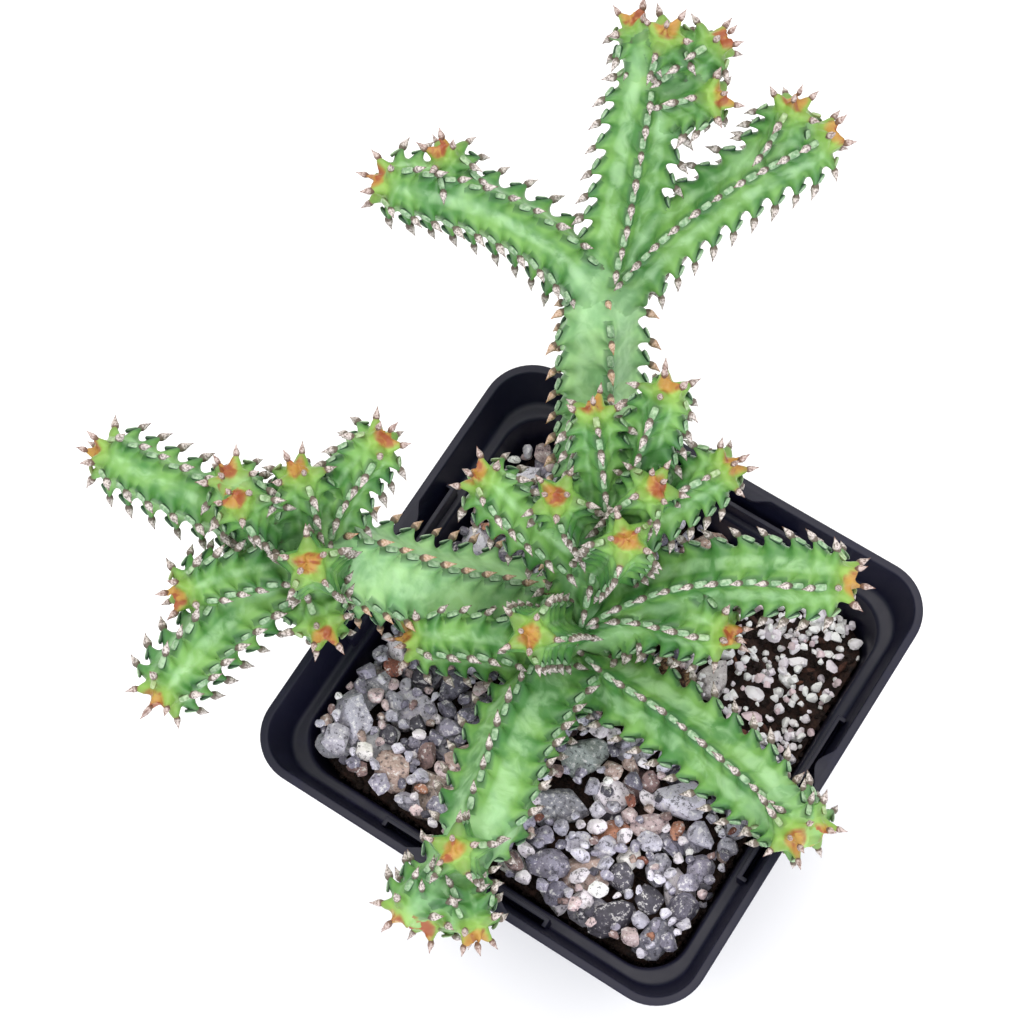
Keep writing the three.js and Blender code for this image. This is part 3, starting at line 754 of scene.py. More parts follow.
# %% The profile that is swept
SECTOR_POINTS = 14
sector = np.arange(SECTOR_POINTS) / SECTOR_POINTS
opening = 2 * math.pi / 5
sector_angle = opening * (sector - 0.08 * np.sin(2 * math.pi * sector))
angles = np.concatenate([sector_angle + opening * k for k in range(5)])
from_ridge = np.tile(np.minimum(sector_angle, opening - sector_angle), 5)
ridge_number = np.concatenate([k + (sector > 0.5) for k in range(5)]) % 5
count = len(angles)
profile_object = mesh_object(
    "ridge_profile", np.stack([np.cos(angles), np.sin(angles), 0 * angles], 1) / MM,
    edges=[(i, (i + 1) % count) for i in range(count)],
    values={"from_ridge": from_ridge, "ridge_number": ridge_number.astype(float)})
print("swept profile:", count, "points")

# %% The skin's tree: the tube, and how far each point is from a tooth
TOOTH_FIN = 2.0
TOOTH_MOUND = 1.25
TOOTH_LEAN = 1.35
FIN_WIDTH = 0.85
MOUND_WIDTH = 2.2
RIDGE_WIDTH = 1.7
VALLEY = 0.12
ROW_OFFSET = 0.4

skin_tree, given = geometry_tree("toothed_stem_skin", {
    "Fin": TOOTH_FIN, "Mound": TOOTH_MOUND, "Lean": TOOTH_LEAN, "Fin width": FIN_WIDTH,
    "Mound width": MOUND_WIDTH, "Valley": VALLEY, "Profile": "Object"})
tree = skin_tree
told = {}  # values that the middle lines and the profile carry, or that this tree stores
for name in ("girth", "span", "ridge_number", "from_ridge", "phase", "size", "youth", "past_tooth",
             "arc", "fin", "valley"):
    told[name] = add(tree, READ, REAL, {"Name": name})
for name in ("axis", "out"):
    told[name] = add(tree, READ, VECTOR, {"Name": name})
line = add(tree, "GeometryNodeMeshToCurve", inputs={"Mesh": given["Geometry"]})
line = add(tree, STORE, VECTOR, {"Geometry": line, "Name": "axis",
    "Value": add(tree, "GeometryNodeInputTangent")})
girth_m = add(tree, MATH, TIMES, {0: told["girth"], 1: MM})
shape = add(tree, "GeometryNodeObjectInfo", inputs={"Object": given["Profile"]})
loop = add(tree, "GeometryNodeMeshToCurve", inputs={"Mesh": shape.outputs["Geometry"]})
tube = add(tree, "GeometryNodeCurveToMesh",
           inputs={"Curve": line, "Profile Curve": loop, "Scale": girth_m, "Fill Caps": True})
tube = add(tree, "GeometryNodeSetShadeSmooth", inputs={"Geometry": tube, "Shade Smooth": True})
tube = add(tree, STORE, VECTOR, {"Geometry": tube, "Name": "out",
    "Value": add(tree, "GeometryNodeInputNormal")})
rows = add(tree, MATH, TIMES_PLUS, {0: told["ridge_number"], 1: ROW_OFFSET, 2: told["phase"]})
past = add(tree, MATH, MINUS, {
    0: add(tree, MATH, {"operation": "FRACT"}, {0: add(tree, MATH, PLUS, {0: rows, 1: 0.5})}),
    1: 0.5})
tube = add(tree, STORE, REAL, {"Geometry": tube, "Name": "past_tooth", "Value": past})
arc = add(tree, MATH, TIMES, {0: told["from_ridge"], 1: told["span"]})
tube = add(tree, STORE, REAL, {"Geometry": tube, "Name": "arc", "Value": arc})

# %% The skin's tree: the shape of a tooth
# 0.5 is the tooth's point; below it lies the tip's side, above it the root's side
FIN_CURVE = [(0, 0.03), (0.08, 0.1), (0.18, 0.3), (0.32, 0.52), (0.43, 0.76), (0.5, 1),
             (0.57, 0.66), (0.65, 0.33), (0.75, 0.12), (0.86, 0.03), (1, 0.03)]
spot = add(tree, MATH, PLUS, {0: told["past_tooth"], 1: 0.5})
fin_shape = add(tree, "ShaderNodeFloatCurve", inputs={"Value": spot})
curve = fin_shape.mapping.curves[0]
for place, height in FIN_CURVE[1:-1]:
    curve.points.new(place, height)
curve.points[0].location = FIN_CURVE[0]
curve.points[len(FIN_CURVE) - 1].location = FIN_CURVE[-1]
fin_shape.mapping.update()

# smooth bumps across a ridge: 1 on it, and near nothing past twice the width
bells = {}
for title, width in {"fin": given["Fin width"], "mound": given["Mound width"],
                     "ridge": RIDGE_WIDTH}.items():
    share = add(tree, MATH, OVER, {0: told["arc"], 1: width})
    square = add(tree, MATH, TIMES, {0: share, 1: share})
    bells[title] = add(tree, MATH, {"operation": "EXPONENT"}, {
        0: add(tree, MATH, TIMES, {0: square, 1: -1.0})})
mound_wave = add(tree, MATH, {"operation": "COSINE"}, {
    0: add(tree, MATH, TIMES, {0: add(tree, MATH, PLUS, {0: told["past_tooth"], 1: 0.1}),
        1: 2 * math.pi})})
mound_shape = add(tree, MATH, TIMES_PLUS, {0: mound_wave, 1: 0.5, 2: 0.5})
fin_place = add(tree, MATH, TIMES, {0: bells["fin"], 1: fin_shape})
fin_place = add(tree, MATH, TIMES, {0: fin_place, 1: told["size"]})
tube = add(tree, STORE, REAL, {"Geometry": tube, "Name": "fin", "Value": fin_place})
mound_place = add(tree, MATH, TIMES, {0: bells["mound"], 1: mound_shape})
mound_place = add(tree, MATH, TIMES, {0: mound_place, 1: told["size"]})
hollow = add(tree, MATH, MINUS, {0: 1.0, 1: bells["ridge"]})
tube = add(tree, STORE, REAL, {"Geometry": tube, "Name": "valley", "Value": hollow})

# %% The skin's tree: moving every point outwards and back
rise = add(tree, MATH, TIMES, {0: told["fin"], 1: given["Fin"]})
rise = add(tree, MATH, TIMES_PLUS, {0: mound_place, 1: given["Mound"], 2: rise})
sink = add(tree, MATH, TIMES, {0: add(tree, MATH, TIMES, {0: told["valley"], 1: told["girth"]}),
    1: given["Valley"]})
rise = add(tree, MATH, TIMES, {0: add(tree, MATH, MINUS, {0: rise, 1: sink}), 1: MM})
upright = add(tree, MATH, TIMES_PLUS, {0: told["youth"], 1: -1.7, 2: 1.0})
lean = add(tree, MATH, TIMES, {0: add(tree, MATH, TIMES, {0: told["fin"], 1: given["Lean"]}),
    1: upright})
lean = add(tree, MATH, TIMES, {0: lean, 1: -MM})
push = add(tree, VECTOR_MATH, PLUS, {
    0: add(tree, VECTOR_MATH, {"operation": "SCALE"}, {0: told["out"], "Scale": rise}),
    1: add(tree, VECTOR_MATH, {"operation": "SCALE"}, {0: told["axis"], "Scale": lean})})
tube = add(tree, "GeometryNodeSetPosition", inputs={"Geometry": tube, "Offset": push})
tube = add(tree, "GeometryNodeRealizeInstances", inputs={"Geometry": tube})
tube = add(tree, "GeometryNodeSetMaterial", inputs={"Geometry": tube, "Material": given["Finish"]})
add(tree, "NodeGroupOutput", inputs={0: tube})
print("toothed_stem_skin:", len(tree.nodes), "nodes")

# %% Growing the five groups of stems
def grow(piece, tree, **inputs):
    """Puts a tree on an object, sets its inputs by identifier, and keeps the mesh it gives."""
    step = piece.modifiers.new(tree.name, "NODES")
    step.node_group = tree
    for item in tree.interface.items_tree:
        if item.item_type == "SOCKET" and item.in_out == "INPUT" and item.name in inputs:
            step[item.identifier] = inputs[item.name]
    piece.data.update()
    return plain_mesh(piece, piece.name)


def column(mesh, name):
    """One stored value of every point, as an array."""
    data = np.empty(len(mesh.vertices), np.float32)
    mesh.attributes[name].data.foreach_get("value", data)
    return data


def places(mesh):
    """Where every point is, in millimetres."""
    data = np.empty(len(mesh.vertices) * 3, np.float32)
    mesh.vertices.foreach_get("co", data)
    return data.reshape(-1, 3) / MM


skin_swatch, skin_nodes, skin_shader = material("succulent_skin_waxy")
swept = {}
for group, skeleton in skeletons.items():
    swept[group] = grow(skeleton, skin_tree, Profile=profile_object, Finish=skin_swatch)
    print(group, "swept:", len(skeleton.data.vertices), "points")

# %% [markdown]
# ## The stems: one living skin for each group
# Swept tubes only pass through each other, and a real fork has a smooth web of skin. So each
# group of tubes is remeshed on a fine voxel grid, which keeps just the outer surface. A second
# tree then looks up, for every new vertex, the values of the nearest point on the old tubes,
# and blurs the vertices' places only near a fork. Where two stems meet is found in plain numpy:
# a place is a fork if it is close to the skins of two stems at once.

# %% Where forks are, and which teeth they swallow
VOXEL = 0.44
HOLLOW_SHARE = 0.92  # a stem's radius in its hollows, over the radius of its ridges
FORK_REACH, FORK_FADE = 2.4, 1.8
SWALLOWED_BELOW = 0.9
FAR = 1e9


def stem_clearances(group, points):
    """For each point, its distance from the skin of every stem of a group."""
    result = []
    for stem_group, radius, middle in stem_lines.values():
        if stem_group != group:
            continue
        thin = middle[::max(1, len(middle) // 40)]
        nearest = np.full(len(points), FAR)
        for spot in thin:
            nearest = np.minimum(nearest, ((points - spot) ** 2).sum(1))
        result.append(np.sqrt(nearest) - radius * HOLLOW_SHARE)
    return np.array(result)


def fork_weight(group, points):
    """1 where the skins of two stems meet, falling to 0 a little way off."""
    clearances = np.sort(stem_clearances(group, points), axis=0)
    return np.clip((FORK_REACH - clearances[1]) / FORK_FADE, 0, 1)


def swallowed(group, points, own_stem):
    """1 for a tooth whose point lies inside a stem that it doesn't grow from, else 0."""
    clearances = stem_clearances(group, points)
    clearances[own_stem.round().astype(int), np.arange(len(points))] = FAR
    return (clearances.min(0) < SWALLOWED_BELOW).astype(float)


for group, piece in swept.items():
    owner = column(piece.data, "own_stem")
    layer = piece.data.attributes.new("swallowed", "FLOAT", "POINT")
    lost = swallowed(group, places(piece.data), owner)
    layer.data.foreach_set("value", lost)
    print(group, "points inside another stem:", int(lost.sum()))

# %% The tree that carries values to the new skin
CARRIED = ("past_tooth", "arc", "fin", "valley", "size", "youth", "age")
FORK_SMOOTHING = 16
carry_tree, given = geometry_tree("living_skin", {"Source": "Object",
                                                  "Fork smoothing": FORK_SMOOTHING})
source = add(carry_tree, "GeometryNodeObjectInfo", inputs={"Object": given["Source"]})
skin = given["Geometry"]
for name in CARRIED:
    value = add(carry_tree, READ, REAL, {"Name": name})
    found = add(carry_tree, "GeometryNodeSampleNearestSurface",
                inputs={"Mesh": source.outputs["Geometry"], "Value": value})
    skin = add(carry_tree, STORE, REAL, {"Geometry": skin, "Name": name, "Value": found})
eased = add(carry_tree, "GeometryNodeBlurAttribute", VECTOR,
            {"Value": add(carry_tree, "GeometryNodeInputPosition"),
             "Iterations": given["Fork smoothing"],
             "Weight": add(carry_tree, READ, REAL, {"Name": "fork"})})
skin = add(carry_tree, "GeometryNodeSetPosition", inputs={"Geometry": skin, "Position": eased})
skin = add(carry_tree, "GeometryNodeSetShadeSmooth", inputs={"Geometry": skin})
skin = add(carry_tree, "GeometryNodeRealizeInstances", inputs={"Geometry": skin})
skin = add(carry_tree, "GeometryNodeSetMaterial",
           inputs={"Geometry": skin, "Material": given["Finish"]})
add(carry_tree, "NodeGroupOutput", inputs={0: skin})
print("living_skin:", len(carry_tree.nodes), "nodes")

# %% Remeshing each group and dressing it with the carried values
skins = {}
for group, tubes in swept.items():
    skin = bpy.data.objects.new(group + "_stems_skin", tubes.data.copy())
    bpy.context.scene.collection.objects.link(skin)
    merge = skin.modifiers.new("merge", "REMESH")
    merge.mode = "VOXEL"
    merge.voxel_size = VOXEL * MM
    plain_mesh(skin, skin.name)
    layer = skin.data.attributes.new("fork", "FLOAT", "POINT")
    layer.data.foreach_set("value", fork_weight(group, places(skin.data)))
    skins[group] = grow(skin, carry_tree, Source=tubes, Finish=skin_swatch)
    print(group, "skin:", len(skin.data.polygons), "faces")

# %% [markdown]
# ## The stems' finish: waxy succulent skin
# The skin is a living epidermis under a thin wax bloom. To the eye that is a fresh green that
# shifts between yellow and blue from patch to patch, pale along the hollows between the ridges,
# darker in an oval round each hard pad, and flushed with orange and maroon in the rosette at a
# growing tip. The wax makes it satin. Light goes a little way in, so a trace of subsurface
# scattering takes the chalkiness off.

# %% Waxy skin: greens, old and young
tree = skin_nodes
seen = {}  # the same values, as the shader reads them from the skin
for name in ("size", "youth", "age", "valley", "fork", "arc", "past_tooth", "fin"):
    seen[name] = add(tree, ATTRIBUTE, {"attribute_name": name}).outputs["Fac"]
place = add(tree, "ShaderNodeTexCoord").outputs["Object"]
patches = add(tree, NOISE,
              inputs={"Vector": place, "Scale": 120.0, "Detail": 3.0, "Roughness": 0.6})
streaks = add(tree, NOISE,
              inputs={"Vector": place, "Scale": 260.0, "Detail": 4.0, "Distortion": 0.8})
green = add(tree, MIX, RGBA, {
    0: add(tree, RANGE, SMOOTH, {0: patches.outputs["Fac"], 1: 0.36, 2: 0.64}),
    6: linear("#447a3b"), 7: linear("#6f9e50")}).outputs[2]
old_green = add(tree, MIX, RGBA, {
    0: add(tree, RANGE, SMOOTH, {0: patches.outputs["Fac"], 1: 0.36, 2: 0.64}),
    6: linear("#74a56c"), 7: linear("#a2cd8e")}).outputs[2]
skin_colour = add(tree, MIX, RGBA, {0: add(tree, MATH, TIMES, {0: seen["age"], 1: 0.8}), 6: green,
    7: old_green}).outputs[2]
vein = add(tree, MATH, TIMES, {0: add(tree, RANGE, SMOOTH, {0: seen["valley"], 1: 0.6, 2: 1.0}),
    1: add(tree, RANGE, SMOOTH, {0: streaks.outputs["Fac"], 1: 0.35, 2: 0.65, 3: 0.1, 4: 0.8})})
vein = add(tree, MATH, TIMES, {0: vein,
    1: add(tree, RANGE, SMOOTH, {0: seen["youth"], 1: 0.0, 2: 0.8, 3: 0.55, 4: 0.1})})
skin_colour = add(tree, MIX, RGBA, {0: vein, 6: skin_colour, 7: linear("#b4dbaa")}).outputs[2]
fork_pale = add(tree, MATH, TIMES, {0: seen["fork"], 1: 0.35})
skin_colour = add(tree, MIX, RGBA, {0: fork_pale, 6: skin_colour, 7: linear("#a9d4a2")}).outputs[2]

# %% Waxy skin: a darker oval round each pad, and the neck of a point
# the skin is darker in an oval round the foot of each pad, on the tip's side of each tooth
beside = add(tree, MATH, OVER, {0: seen["arc"], 1: 0.8})
behind = add(tree, MATH, OVER, {
    0: add(tree, MATH, PLUS, {0: seen["past_tooth"], 1: 0.25}), 1: 0.27})
squared = add(tree, MATH, PLUS, {0: add(tree, MATH, TIMES, {0: beside, 1: beside}),
    1: add(tree, MATH, {"operation": "POWER"}, {
        0: add(tree, MATH, {"operation": "ABSOLUTE"}, {0: behind}), 1: 4.0})})
darker_round_pad = add(tree, MATH, TIMES, {0: add(tree, RANGE, SMOOTH, {0: squared, 1: 2.2, 2: 0.4}),
    1: add(tree, RANGE, SMOOTH, {0: seen["size"], 1: 0.2, 2: 0.6})})
skin_colour = add(tree, MIX, RGBA, {0: add(tree, MATH, TIMES, {0: darker_round_pad, 1: 0.6}), 6: skin_colour,
    7: linear("#2f5a35")}).outputs[2]
neck = add(tree, RANGE, SMOOTH, {0: seen["fin"], 1: 0.55, 2: 0.95, 3: 0.0, 4: 0.75})
skin_colour = add(tree, MIX, RGBA, {0: neck, 6: skin_colour, 7: linear("#4a4a38")}).outputs[2]

# %% Waxy skin: the flush at a growing tip, and the wax
flush = add(tree, MATH, TIMES, {0: seen["youth"], 1: 0.66})
fresh = add(tree, MIX, RGBA, {0: add(tree, RANGE, SMOOTH, {0: seen["youth"], 1: 0.86, 2: 1.0}),
    6: linear("#94b045"), 7: linear("#c47a30")}).outputs[2]
skin_colour = add(tree, MIX, RGBA, {0: flush, 6: skin_colour, 7: fresh}).outputs[2]
blush = add(tree, MATH, TIMES, {
    0: add(tree, RANGE, SMOOTH, {0: seen["youth"], 1: 0.8, 2: 1.0, 3: 0.0, 4: 0.9}),
    1: add(tree, RANGE, SMOOTH, {0: streaks.outputs["Fac"], 1: 0.46, 2: 0.6})})
skin_colour = add(tree, MIX, RGBA, {0: blush, 6: skin_colour, 7: linear("#8a4023")}).outputs[2]
red_edge = add(tree, MATH, TIMES, {
    0: add(tree, RANGE, SMOOTH, {0: seen["fin"], 1: 0.35, 2: 0.8, 3: 0.0, 4: 0.8}),
    1: add(tree, RANGE, SMOOTH, {0: seen["youth"], 1: 0.08, 2: 0.5})})
skin_colour = add(tree, MIX, RGBA, {0: red_edge, 6: skin_colour, 7: linear("#87482c")}).outputs[2]
pores = add(tree, NOISE, inputs={"Vector": place, "Scale": 1500.0, "Detail": 3.0})
skin_bump = add(tree, "ShaderNodeBump", inputs={"Strength": 0.25, "Distance": 0.0002,
                                                "Height": pores.outputs["Fac"]})
waxiness = add(tree, RANGE, SMOOTH, {0: patches.outputs["Fac"], 1: 0.3, 2: 0.7, 3: 0.36, 4: 0.5})
wire(tree, skin_shader, {
    "Base Color": skin_colour, "Roughness": waxiness, "Normal": skin_bump, "IOR": 1.43,
    "Subsurface Weight": 0.12, "Subsurface Radius": (0.4, 1.0, 0.25), "Subsurface Scale": 1 * MM})
for group, skin in skins.items():
    settle(skin, skin_swatch, "stem_skin", *STEMS[group])

# %% [markdown]
# ## The hard points and pads on the teeth
# Each tooth ends in a dry, hard point, and behind it on the tip's side lies a pale pad with a
# dark rim. Both repeat about a thousand times, so each is one shape of a few dozen faces,
# and a tree sets it on every tooth. It picks the vertices that lie exactly on a ridge and on a
# tooth's phase, and turns the shape by the values that the sweep stored there.

# %% The two small shapes
def turned(name, rows, around, squash=1.0, bend=0.0):
    """A closed shape through rings of (height, radius), with a value for how far up a point is."""
    turns = np.linspace(0, 2 * math.pi, around, endpoint=False)
    top = rows[-1][0]
    rings = []
    for height, radius in rows[1:-1]:
        lean = bend * (max(height, 0) / top) ** 2
        rings.append(np.stack([np.cos(turns) * radius + lean, np.sin(turns) * radius * squash,
                               0 * turns + height], 1))
    points, faces = loft(rings, (0, 0, rows[0][0]), (bend, 0, top))
    reach = np.clip((points[:, 2] + 0.8) / (top + 0.8), 0, 1)
    made = mesh_object(name, points, faces, values={"reach": reach})
    outward(made)
    return made


point_shape = turned("tooth_point", [(-1.5, 0), (-1.4, 0.4), (-0.6, 0.78), (0, 0.8), (0.5, 0.6),
                                     (1.2, 0.27), (2, 0)], 7, 0.85, -0.22)
PAD_LENGTH, PAD_WIDTH, PAD_HEIGHT = 2.4, 1.3, 0.75
turns = np.linspace(0, 2 * math.pi, 12, endpoint=False)
square = np.stack([np.sign(np.cos(turns)) * np.abs(np.cos(turns)) ** 0.45,
                   np.sign(np.sin(turns)) * np.abs(np.sin(turns)) ** 0.6], 1)
pad_rings = []
for height, reach in ((-0.4, 0.9), (0.1, 1.0), (0.32, 0.94), (0.5, 0.72)):
    outline = square * (PAD_LENGTH / 2, PAD_WIDTH / 2) * reach
    pad_rings.append(np.column_stack([outline, 0 * turns + height * PAD_HEIGHT]))
points, faces = loft(pad_rings, (0, 0, -0.4 * PAD_HEIGHT), (0, 0, 0.56 * PAD_HEIGHT))
pad_shape = mesh_object("tooth_pad", points, faces, values={
    "reach": np.clip(points[:, 2] / (0.5 * PAD_HEIGHT), 0, 1)})
outward(pad_shape)
print("a point has", len(point_shape.data.polygons), "faces, a pad", len(pad_shape.data.polygons))

# %% The tree that sets a shape on every tooth
set_tree, given = geometry_tree("set_on_teeth", {
    "Shape": "Object", "Past tooth": 0.0, "Outward": 1.0, "Backward": 0.6, "Youngest": 0.3})
tree = set_tree
told = {}
for name in ("past_tooth", "from_ridge", "size", "swallowed", "youth"):
    told[name] = add(tree, READ, REAL, {"Name": name})
for name in ("axis", "out"):
    told[name] = add(tree, READ, VECTOR, {"Name": name})
off = add(tree, MATH, {"operation": "ABSOLUTE"}, {
    0: add(tree, MATH, MINUS, {0: told["past_tooth"], 1: given["Past tooth"]})})
chosen = add(tree, MATH, TIMES, {0: add(tree, MATH, {"operation": "LESS_THAN"}, {0: off, 1: 0.01}),
    1: add(tree, MATH, {"operation": "LESS_THAN"}, {0: told["from_ridge"], 1: 0.001})})
chosen = add(tree, MATH, TIMES, {0: chosen,
    1: add(tree, MATH, {"operation": "GREATER_THAN"}, {0: told["size"], 1: given["Youngest"]})})
chosen = add(tree, MATH, TIMES, {0: chosen,
    1: add(tree, MATH, {"operation": "LESS_THAN"}, {0: told["swallowed"], 1: 0.5})})
grown = add(tree, MATH, TIMES_PLUS, {0: told["youth"], 1: -1.9, 2: 1.0})
back = add(tree, VECTOR_MATH, {"operation": "SCALE"}, {0: told["axis"],
    "Scale": add(tree, MATH, TIMES, {0: add(tree, MATH, TIMES, {0: given["Backward"], 1: grown}),
        1: -1.0})})
up = add(tree, VECTOR_MATH, PLUS, {
    0: add(tree, VECTOR_MATH, {"operation": "SCALE"}, {0: told["out"], "Scale": given["Outward"]}),
    1: back})
uneven = add(tree, "FunctionNodeRandomValue", {"data_type": "FLOAT"}, {2: 0.86, 3: 1.1, "Seed": 3})
thickness = add(tree, MATH, TIMES, {0: uneven.outputs[1],
    1: add(tree, MATH, TIMES_PLUS, {0: told["size"], 1: 0.6, 2: 0.4})})
heading = add(tree, "FunctionNodeAxesToRotation", {"primary_axis": "Z", "secondary_axis": "X"},
    {"Primary Axis": add(tree, VECTOR_MATH, {"operation": "NORMALIZE"}, {0: up}),
        "Secondary Axis": told["axis"]})
shape = add(tree, "GeometryNodeObjectInfo", inputs={"Object": given["Shape"], "As Instance": True})
set_out = add(tree, "GeometryNodeInstanceOnPoints", inputs={
    "Points": given["Geometry"], "Selection": chosen, "Instance": shape.outputs["Geometry"],
    "Rotation": heading, "Scale": thickness})
set_out = add(tree, "GeometryNodeRealizeInstances", inputs={"Geometry": set_out})
set_out = add(tree, "GeometryNodeSetShadeSmooth", inputs={"Geometry": set_out})
set_out = add(tree, "GeometryNodeSetMaterial",
              inputs={"Geometry": set_out, "Material": given["Finish"]})
add(tree, "NodeGroupOutput", inputs={0: set_out})
print("set_on_teeth:", len(tree.nodes), "nodes")

# %% [markdown]
# ## The finish of the hard parts
# A tooth's point is dead, corky tissue: pale grey-beige with fine dark specks, a dark ring where
# it joins the green, and a brown tip that turns orange on the oldest stems. The pad behind it is
# alive, smooth and pale.

# %% Dry point
dry_point, tree, shader = material("dry_corky_point")
place = add(tree, "ShaderNodeTexCoord").outputs["Object"]
specks = add(tree, NOISE, inputs={"Vector": place, "Scale": 2600.0, "Detail": 3.0})
seen = {}
for name in ("reach", "age", "youth"):
    seen[name] = add(tree, ATTRIBUTE, {"attribute_name": name}).outputs["Fac"]
body = add(tree, MIX, RGBA, {
    0: add(tree, RANGE, SMOOTH, {0: specks.outputs["Fac"], 1: 0.38, 2: 0.58}), 6: linear("#736a64"),
    7: linear("#c4bbb5")}).outputs[2]
brown = add(tree, MIX, RGBA, {
    0: seen["age"], 6: linear("#6e4a3c"), 7: linear("#d08a55")}).outputs[2]
colour = add(tree, MIX, RGBA, {0: add(tree, RANGE, SMOOTH, {0: seen["reach"], 1: 0.72, 2: 1.0}),
    6: body, 7: brown}).outputs[2]
colour = add(tree, MIX, RGBA, {0: add(tree, MATH, TIMES, {0: seen["age"], 1: 0.45}), 6: colour,
    7: linear("#c9955f")}).outputs[2]
colour = add(tree, MIX, RGBA, {
    0: add(tree, RANGE, SMOOTH, {0: seen["reach"], 1: 0.26, 2: 0.1, 3: 0.0, 4: 0.9}), 6: colour,
    7: linear("#4d4232")}).outputs[2]
colour = add(tree, MIX, RGBA, {0: add(tree, MATH, TIMES, {0: seen["youth"], 1: 0.3}), 6: colour,
    7: linear("#8d4a36")}).outputs[2]
wire(tree, shader, {"Base Color": colour, "Roughness": 0.62})

# %% Pale pad
pale_pad, tree, shader = material("pale_living_pad")
place = add(tree, "ShaderNodeTexCoord").outputs["Object"]
flecks = add(tree, NOISE, inputs={"Vector": place, "Scale": 1400.0, "Detail": 2.0})
seen = {}
for name in ("reach", "youth"):
    seen[name] = add(tree, ATTRIBUTE, {"attribute_name": name}).outputs["Fac"]
body = add(tree, MIX, RGBA, {
    0: add(tree, RANGE, SMOOTH, {0: flecks.outputs["Fac"], 1: 0.35, 2: 0.65}), 6: linear("#668a62"),
    7: linear("#94b08c")}).outputs[2]
colour = add(tree, MIX, RGBA, {0: add(tree, RANGE, SMOOTH, {0: seen["reach"], 1: 0.75, 2: 0.35}),
    6: body, 7: linear("#29472f")}).outputs[2]
colour = add(tree, MIX, RGBA, {0: add(tree, MATH, TIMES, {0: seen["youth"], 1: 0.6}), 6: colour,
    7: linear("#b3b458")}).outputs[2]
wire(tree, shader, {"Base Color": colour, "Roughness": 0.45})

# %% Setting points and pads on every group
PAD_BACK = 4 / RINGS_PER_TOOTH  # a pad sits this share of a pitch on the tip's side of its point
for group, tubes in swept.items():
    tips = bpy.data.objects.new(group + "_tooth_points", tubes.data.copy())
    pads = bpy.data.objects.new(group + "_tooth_pads", tubes.data.copy())
    for made in (tips, pads):
        bpy.context.scene.collection.objects.link(made)
    grow(tips, set_tree, Shape=point_shape, Finish=dry_point, Backward=0.75)
    grow(pads, set_tree, Shape=pad_shape, Finish=pale_pad, Outward=1.0, Backward=-0.45,
         Youngest=0.85, **{"Past tooth": -PAD_BACK})
    settle(tips, dry_point, "stem_skin")
    settle(pads, pale_pad, "stem_skin")
    bpy.data.objects.remove(tubes)
for used in (point_shape, pad_shape, profile_object):
    bpy.data.objects.remove(used)

# %% [markdown]
# ## Gravel: the shape of one stone
# The dressing is crushed and river-rounded stone of many rocks. A stone is a sphere that has
# been cut by a handful of random planes, which leaves flat faces with worn edges between them.
# The few large stones have fine skins of their own. The hundreds of small ones share eight
# coarse shapes, because nobody can tell them apart once each is turned, stretched and coloured.

# %% Stone shapes
def sphere_points(level):
    """Points and faces of a unit icosphere."""
    work = bmesh.new()
    bmesh.ops.create_icosphere(work, subdivisions=level, radius=1)
    points = np.array([v.co for v in work.verts])
    faces = [tuple(v.index for v in f.verts) for f in work.faces]
    work.free()
    return points, faces


def worn_stone(level, seed, cuts=11, rough=0.03):
    """A unit stone: a sphere flattened by random planes and roughened a little."""
    dice = np.random.default_rng(seed)
    points, faces = sphere_points(level)
    for _ in range(cuts):
        normal = dice.normal(size=3)
        normal /= np.linalg.norm(normal)
        depth = dice.uniform(0.44, 0.8)
        above = points @ normal
        points = points - np.outer(np.maximum(above - depth, 0) * 0.92, normal)
    reach = np.abs(points).max(0)
    points = points / reach
    points *= (1 + rough * lumps(points * 10, 6, seed + 50))[:, None]
    return points, faces


def put_on_shelf(shape, shelf):
    """Moves a shape out of the scene, to where only an instance can reach it."""
    bpy.context.scene.collection.objects.unlink(shape)
    shelf.objects.link(shape)


SHAPE_COUNT = 8
shape_shelf = bpy.data.collections.new("stone_shapes")
for k in range(SHAPE_COUNT):
    points, faces = worn_stone(2, 20 + k, cuts=10)
    shape = mesh_object(f"stone_shape_{k}", points, faces)
    shape.data.shade_smooth()
    shape.data.set_sharp_from_angle(angle=math.radians(25))
    put_on_shelf(shape, shape_shelf)
print("stone shapes:", SHAPE_COUNT, "of", len(faces), "faces each")

# %% [markdown]
# ## Gravel: how it packs
# Loose stones settle into the lowest place they can reach. The same idea packs them here, with
# no physics run: the bed is kept as a grid of heights. For each stone a number of places are
# tried, the stone rests on the highest thing under it, and the place that lets it lie lowest
# wins. Then its top is added to the grid. The largest stones go first and the grit last, so
# the grit ends up in the gaps. Stems block the cells that they stand in.

# %% The bed as a grid of heights
CELL = 0.5
GRID_HALF = 46
BLOCKED = 1e3
NEAR_THE_BED = 3
grid_line = np.arange(-GRID_HALF, GRID_HALF + CELL, CELL)
grid_x, grid_y = np.meshgrid(grid_line, grid_line, indexing="ij")
bed_height = mix_height(grid_x, grid_y)
bed_height[~inside_room(grid_x, grid_y, 0.2)] = BLOCKED
for _, radius, middle in stem_lines.values():
    low = middle[middle[:, 2] - radius < SOIL_LEVEL + NEAR_THE_BED][::6]
    for x, y, _ in low:
        bed_height[np.hypot(grid_x - x, grid_y - y) < radius * HOLLOW_SHARE] = BLOCKED
print("cells where a stone may lie:", int((bed_height < BLOCKED).sum()), "of", bed_height.size)

# %% Laying one stone
def target_level(x, y):
    """The height that the tops of the stones should reach: higher near two of the walls."""
    bank = 2.0 * np.clip((-y - 18) / 20, 0, 1) + 2.0 * np.clip((-x - y - 45) / 20, 0, 1)
    return SOIL_LEVEL + surface_rise(x, y) + 1.8 + bank


